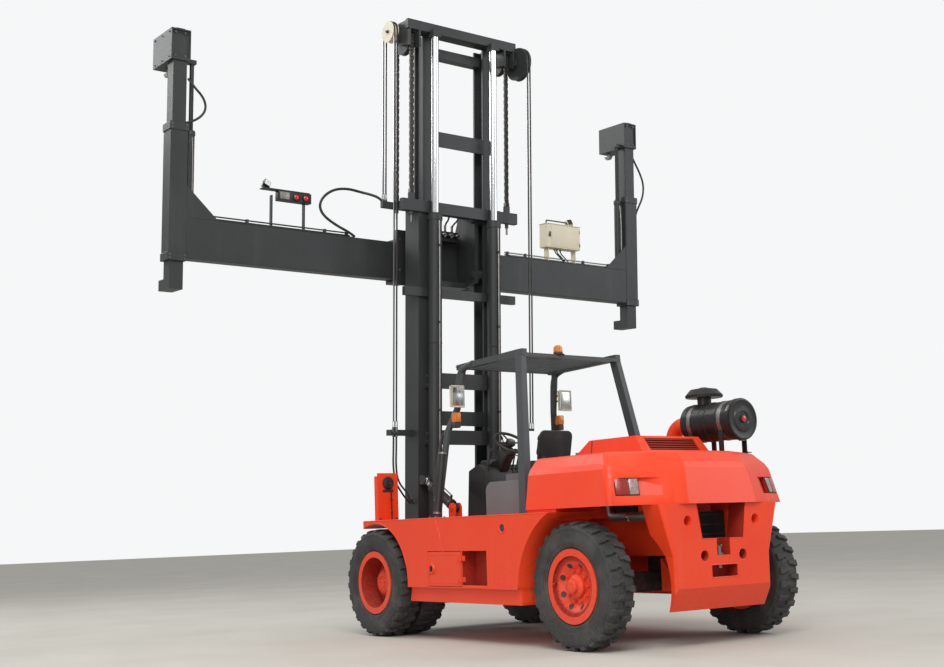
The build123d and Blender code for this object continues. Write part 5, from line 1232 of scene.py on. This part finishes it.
anchor = Vector((2.400, 0, 1.200))
eye = groundMove.inverted() @ onMast(2.965, 0, 1.500)
cylinderY = 0.490
pull, reach = (eye - anchor).normalized(), (eye - anchor).length
lift = pull.cross(Vector((0, 1, 0))).normalized()
collars = Work()
for side, s in bothSides:
    barrel, rod = Work(), Work()
    start = anchor + Vector((0, s * cylinderY, 0))
    barrel.turned(start + pull * (reach - 0.150), pull, [
        (-0.050, 0.0485), (-0.046, 0.0545), (0.002, 0.0545), (0.010, 0.046), (0.018, 0.040),
        (0.020, 0.0258)], 36)
    barrel.turned(start + pull * 0.066, pull, [(-0.010, 0.030), (-0.004, 0.0525), (0.022, 0.0525),
                                               (0.028, 0.0485)], 36)
    for distance in (0.110, reach - 0.225):
        port = start + pull * distance + lift * 0.046
        barrel.drum(port, port + lift * 0.022, 0.014, 12)
        barrel.drum(port + lift * 0.016, port + lift * 0.036, 0.012, 6, 1)
    barrel.tube([start + pull * distance + lift * height for distance, height in (
        (0.110, 0.078), (0.150, 0.082), (reach - 0.27, 0.082), (reach - 0.225, 0.078))], 0.007, material=1)
    rod.drum(start + pull * (reach - 0.078), start + pull * (reach - 0.052), 0.031, 6, 1)
    barrel.finish(f"tilt_barrel_{side}_fittings", f"tilt_barrel_{side}", [mastGrey, steel], "mast_paint")
    rod.finish(f"tilt_rod_{side}_nut", f"tilt_rod_{side}", [mastGrey, steel], "steel")
    for out in (-1, 1):
        x, y, z = start + Vector((0, out * 0.048, 0))
        collars.turned((x, y, z), (0, out, 0), [(-0.002, 0.034), (0.006, 0.032), (0.008, 0.018),
                                                (0.008, 0.0)], 24)
        collars.bolts([(x, y + out * 0.008, z)], (0, out, 0), 0.012, 1)
for s in (1, -1):
    collars.turned((trunnionX, s * 0.305, trunnionZ), (0, s, 0), [
        (-0.004, 0.060), (0.006, 0.058), (0.008, 0.034), (0.008, 0.0)], 28)
collars.finish("anchor_collars", "truck", [red, steel], "steel")
print("tilt cylinders dressed")


# Hood, lid and counterweight: the lid's joints, wire screen, radiator fins, lips and rims of the holes

# painted shade: a darker, dustier copy of the body red for the louvres' step faces and the wire screen behind
# them
lidPaintAndShade = [red, enamel("shaded grille enamel", (0.30, 0.030, 0.016), (0.34, 0.040, 0.022), 0.5, 0.3, 0.6, 0.0)]
grille = {"wires": 34, "wireHalf": 0.280, "wire": 0.0022, "fins": 46, "finHalf": 0.250, "fin": 0.0012}


def louvreShadeChoice(spot, normal):
    inSlope = spot.x < -0.07 and abs(spot.y) < 0.30 and 1.585 < spot.z < 1.702
    return 1 if inSlope and (normal.x < -0.99 or abs(normal.z) > 0.99) else 0


def spread(count, half):
    # places evenly from one side to the other
    return [-half + number * 2 * half / (count - 1) for number in range(count)]


paintWhere("hood_lid", lidPaintAndShade, louvreShadeChoice)
work, lid = Work(), Work()
for s in (1, -1):
    lid.tube([(0.461, s * 0.3955, 1.575), (0.461, s * 0.387, 1.640), (0.461, s * 0.3765, 1.711)], 0.0045,
             material=1)
    work.tube([(x, s * 0.375, 1.566) for x in (-0.160, 0.250, 0.620)], 0.006, 10, 1)
# fine wire screen behind the louvres, in the darker red of painted shade
for y in spread(grille["wires"], grille["wireHalf"]):
    lid.tube([(-0.150, y, 1.590), (-0.105, y, 1.648), (-0.060, y, 1.700)], grille["wire"], 4, 2)
# radiator: upright fins and four bars behind the outlet
for y in spread(grille["fins"], grille["finHalf"]):
    work.block((-0.436, y - grille["fin"], 0.790), (-0.426, y + grille["fin"], 1.062), 0.0, 1)
for level in (0.800, 0.880, 0.960, 1.040):
    work.block((-0.439, -0.256, level - 0.004), (-0.431, 0.256, level + 0.004), 0.001, 1)
# frame of the outlet and a lip round the lower pocket
for start, end in (((-0.240, 0.845), (-0.075, 0.845)), ((0.075, 0.845), (0.240, 0.845)),
                   ((-0.240, 0.845), (-0.285, 1.128)), ((0.240, 0.845), (0.285, 1.128)),
                   ((-0.150, 0.540), (0.150, 0.540)), ((-0.150, 0.640), (0.150, 0.640)),
                   ((-0.150, 0.540), (-0.150, 0.640)), ((0.150, 0.540), (0.150, 0.640))):
    work.drum((-0.6495, *start), (-0.6495, *end), 0.004, 8)
for y, z in ((0.390, 0.994), (-0.390, 0.994), (0.220, 0.714), (-0.220, 0.714)):
    work.turned((-0.650, y, z), (-1, 0, 0), [(-0.004, 0.0425), (0.001, 0.0435), (0.002, 0.047),
                                             (-0.002, 0.050)])
lid.finish("hood_lid_fittings", "hood_lid", [red, blackPlastic, lidPaintAndShade[1]], "body_paint")
work.finish("hood_and_weight_fittings", "truck", [red, blackPlastic], "body_paint")
print("hood and counterweight dressed")


# Legs and axles: box covers' screws, seams and lids, housing bolts and kingpin caps

boltSize = {"cover": 0.011, "housing": 0.010, "hub": 0.009, "axle": 0.014}
housing = {"bolts": 12, "circle": 0.088, "hubBolts": 8, "hubCircle": 0.117}
for side, s in bothSides:
    work = Work(leanTurn)
    for level in (5.600, 5.850):
        work.bolts([(x, s * 3.0505, level) for x in (3.600, 3.780, 3.960)], (0, s, 0), boltSize["cover"], 1)
        work.drum((3.548, s * 2.870, level), (3.548, s * 3.030, level), 0.004, 8)
    work.bolts([(3.545, s * y, level) for y in (2.905, 3.005) for level in (5.610, 5.840)], (-1, 0, 0),
               boltSize["cover"], 1)
    work.block((3.560, s * 2.95 - 0.045, 5.878), (3.700, s * 2.95 + 0.045, 5.892), 0.004)
    work.finish(f"leg_{side}_fittings", f"leg_{side}", [mastGrey, steel], "mast_paint")
work = Work()
centre = Vector((2.655, 0, axleZ))
work.bolts([centre + out * housing["circle"] for out in ringOf(housing["bolts"], "X")], (-1, 0, 0),
           boltSize["housing"])
for s in (1, -1):
    work.turned((wheelbase, s * 0.628, axleZ), (0, s, 0), [(-0.030, 0.105), (-0.026, 0.128), (0.0, 0.128)],
                36, 1)
    centre = Vector((wheelbase, s * 0.604, axleZ))
    work.bolts([centre + out * housing["hubCircle"] for out in ringOf(housing["hubBolts"], "Y")], (0, -s, 0),
               boltSize["hub"])
    work.turned((0, s * 0.860, 0.616), (0, 0, 1), [(-0.004, 0.044), (0.006, 0.042), (0.008, 0.0)], 28, 1)
    work.bolts([(x, s * 0.110, 0.7195) for x in (-0.060, 0.060)], (0, 0, 1), boltSize["axle"])
work.finish("axle_fittings", "truck", [steel, blackPaint], "black_paint")
print("legs and axles dressed")


# Hoses that hang: each is one curve between its two fittings

hangingHoses = {"foot": 0.0095, "leg": 0.012, "shift": 0.014, "footRest": (3.094, 3.146)}


def hangHose(name, bodies, points, radius):
    # one NURBS curve near its own few points, which are stations on the mast
    points = [onMast(*point) for point in points]
    holder = smoothLine(points, 10)
    line = bpy.data.meshes.new_from_object(holder)
    bpy.data.meshes.remove(line)
    tube = thickened(holder, radius, 4)
    tube.materials.clear()
    tube.materials.append(hoseRubber)
    tube.shade_smooth()
    piece = bpy.data.objects.new(name, tube)
    bpy.context.scene.collection.objects.link(piece)
    if len(bodies) == 2:
        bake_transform(piece)
    else:
        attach(piece, *bodies)


for number, (offset, foot) in enumerate(zip(hosePair, hangingHoses["footRest"]), 1):
    y = mast["clampY"] + offset
    hangHose(f"foot_hose_{number}", ["outer_mast"], [
        (clampX, y, 1.935), (clampX, y, 1.800), (clampX + 0.004, y + 0.002, 1.640),
        (clampX + 0.012, y - 0.030, 1.480), (foot - 0.002, 0.640 + offset, 1.370), (foot, 0.600, 1.305),
        (foot, 0.566, 1.272), (foot, 0.544, 1.264)], hangingHoses["foot"])
hangHose("shift_hose", ["carriage", "spreader"], [
    (3.338, 0.775, 4.392), (3.370, 0.785, 4.440), (3.470, 0.840, 4.490), (3.530, 0.921, 4.515),
    (3.530, 1.089, 4.535), (3.530, 1.254, 4.505), (3.530, 1.382, 4.412), (3.530, 1.426, 4.303),
    (3.530, 1.368, 4.207), (3.530, 1.204, 4.122), (3.540, 1.060, 4.076), (3.560, 0.985, 4.042)],
    hangingHoses["shift"])
hangHose("leg_hose_left", ["spreader", "leg_left"], [
    (3.560, 2.880, 4.958), (3.550, 2.800, 4.985), (3.545, 2.710, 5.062), (3.545, 2.680, 5.147),
    (3.545, 2.715, 5.241), (3.545, 2.810, 5.324), (3.555, 2.870, 5.400)], hangingHoses["leg"])
hangHose("leg_hose_right", ["spreader", "leg_right"], [
    (3.590, -3.046, 4.661), (3.588, -3.058, 4.740), (3.585, -3.096, 4.826), (3.580, -3.180, 4.978),
    (3.580, -3.200, 5.141), (3.580, -3.144, 5.276), (3.585, -3.069, 5.393), (3.590, -3.024, 5.470)],
    hangingHoses["leg"])
print("hanging hoses made")


# Studio

def makeStudio():
    data = bpy.data.meshes.new("floor")
    mesh = bmesh.new()
    bmesh.ops.create_grid(mesh, x_segments=1, y_segments=1, size=60.0)
    bmesh.ops.translate(mesh, vec=(0, 0, -0.0005), verts=mesh.verts)
    mesh.to_mesh(data)
    mesh.free()
    floor = bpy.data.objects.new("floor", data)
    bpy.context.scene.collection.objects.link(floor)
    material, tree, gloss, place = startMaterial("pale floor")
    mottled = place.noise(0.8, 4.0, 0.6)
    pale, paler = shade((0.50, 0.48, 0.43)), shade((0.58, 0.56, 0.51))
    joinTo(tree, gloss, "Base Color", mottled.ramp(0.3, 0.8).over(pale, paler))
    gloss.inputs["Roughness"].default_value = 0.85
    data.materials.append(material)
    world = bpy.data.worlds.new("studio")
    bpy.context.scene.world = world
    world.use_nodes = True
    tree = world.node_tree
    background = tree.nodes["Background"]
    start = Flow(tree, None)
    lightPath = start.node("ShaderNodeLightPath", {}, {}, 0)
    height = start.node("ShaderNodeTexCoord", {}, {}, 0).part("Z")
    sky = height.ramp(-0.05, 0.9).over(shade((0.80, 0.82, 0.84)), shade((1.0, 1.0, 1.0)))
    seen = lightPath.over(sky, shade((1.49, 1.50, 1.51)))
    tree.links.new(seen.socket, background.inputs["Color"])
    background.inputs["Strength"].default_value = 0.62
    # key, fill and back areas: place, aim, size, power, warmth
    for spot, aim, size, power, colour in (
        ((-9.0, 7.0, 11.0), (0, 0, 2.0), 7.0, 1150.0, (1.0, 0.98, 0.95)),
        ((-8.0, -9.0, 7.0), (0, 0, 2.0), 7.0, 380.0, (0.93, 0.96, 1.0)),
        ((9.0, 4.0, 10.0), (0, 0, 2.5), 6.0, 500.0, (1.0, 1.0, 1.0)),
        ((-5.0, 9.0, 2.6), (0.3, 0, 0.8), 4.0, 130.0, (1.0, 1.0, 1.0)),
    ):
        light = bpy.data.lights.new("soft light", "AREA")
        light.size = size
        light.energy = power
        light.color = colour
        lamp = bpy.data.objects.new("soft light", light)
        lamp.location = spot
        lamp.rotation_euler = (Vector(aim) - Vector(spot)).to_track_quat("-Z", "Y").to_euler()
        bpy.context.scene.collection.objects.link(lamp)


def makeCamera():
    view = {"place": (-7.972, 7.771, 0.990), "yaw": -36.29, "pitch": 8.28, "roll": -1.99, "focal": 1284.266,
            "centre": (477.134, 341.696), "picture": (944, 667)}
    yaw, pitch, roll = (math.radians(view[key]) for key in ("yaw", "pitch", "roll"))
    ahead = Vector((math.cos(yaw) * math.cos(pitch), math.sin(yaw) * math.cos(pitch), math.sin(pitch)))
    level = Vector((math.sin(yaw), -math.cos(yaw), 0))
    lift = level.cross(ahead)
    right = level * math.cos(roll) + lift * math.sin(roll)
    top = lift * math.cos(roll) - level * math.sin(roll)
    lensData = bpy.data.cameras.new("camera")
    lensData.sensor_width = 36.0
    lensData.lens = view["focal"] / view["picture"][0] * 36.0
    lensData.shift_x = (view["picture"][0] / 2 - view["centre"][0]) / view["picture"][0]
    lensData.shift_y = (view["centre"][1] - view["picture"][1] / 2) / view["picture"][0]
    lensData.clip_end = 200.0
    camera = bpy.data.objects.new("camera", lensData)
    turn = Matrix((right, top, -ahead)).transposed().to_4x4()
    camera.matrix_world = Matrix.Translation(onGround(*view["place"])) @ turn
    bpy.context.scene.collection.objects.link(camera)
    bpy.context.scene.camera = camera


makeStudio()
makeCamera()
bpy.context.scene.view_settings.view_transform = "Standard"
print("studio ready")
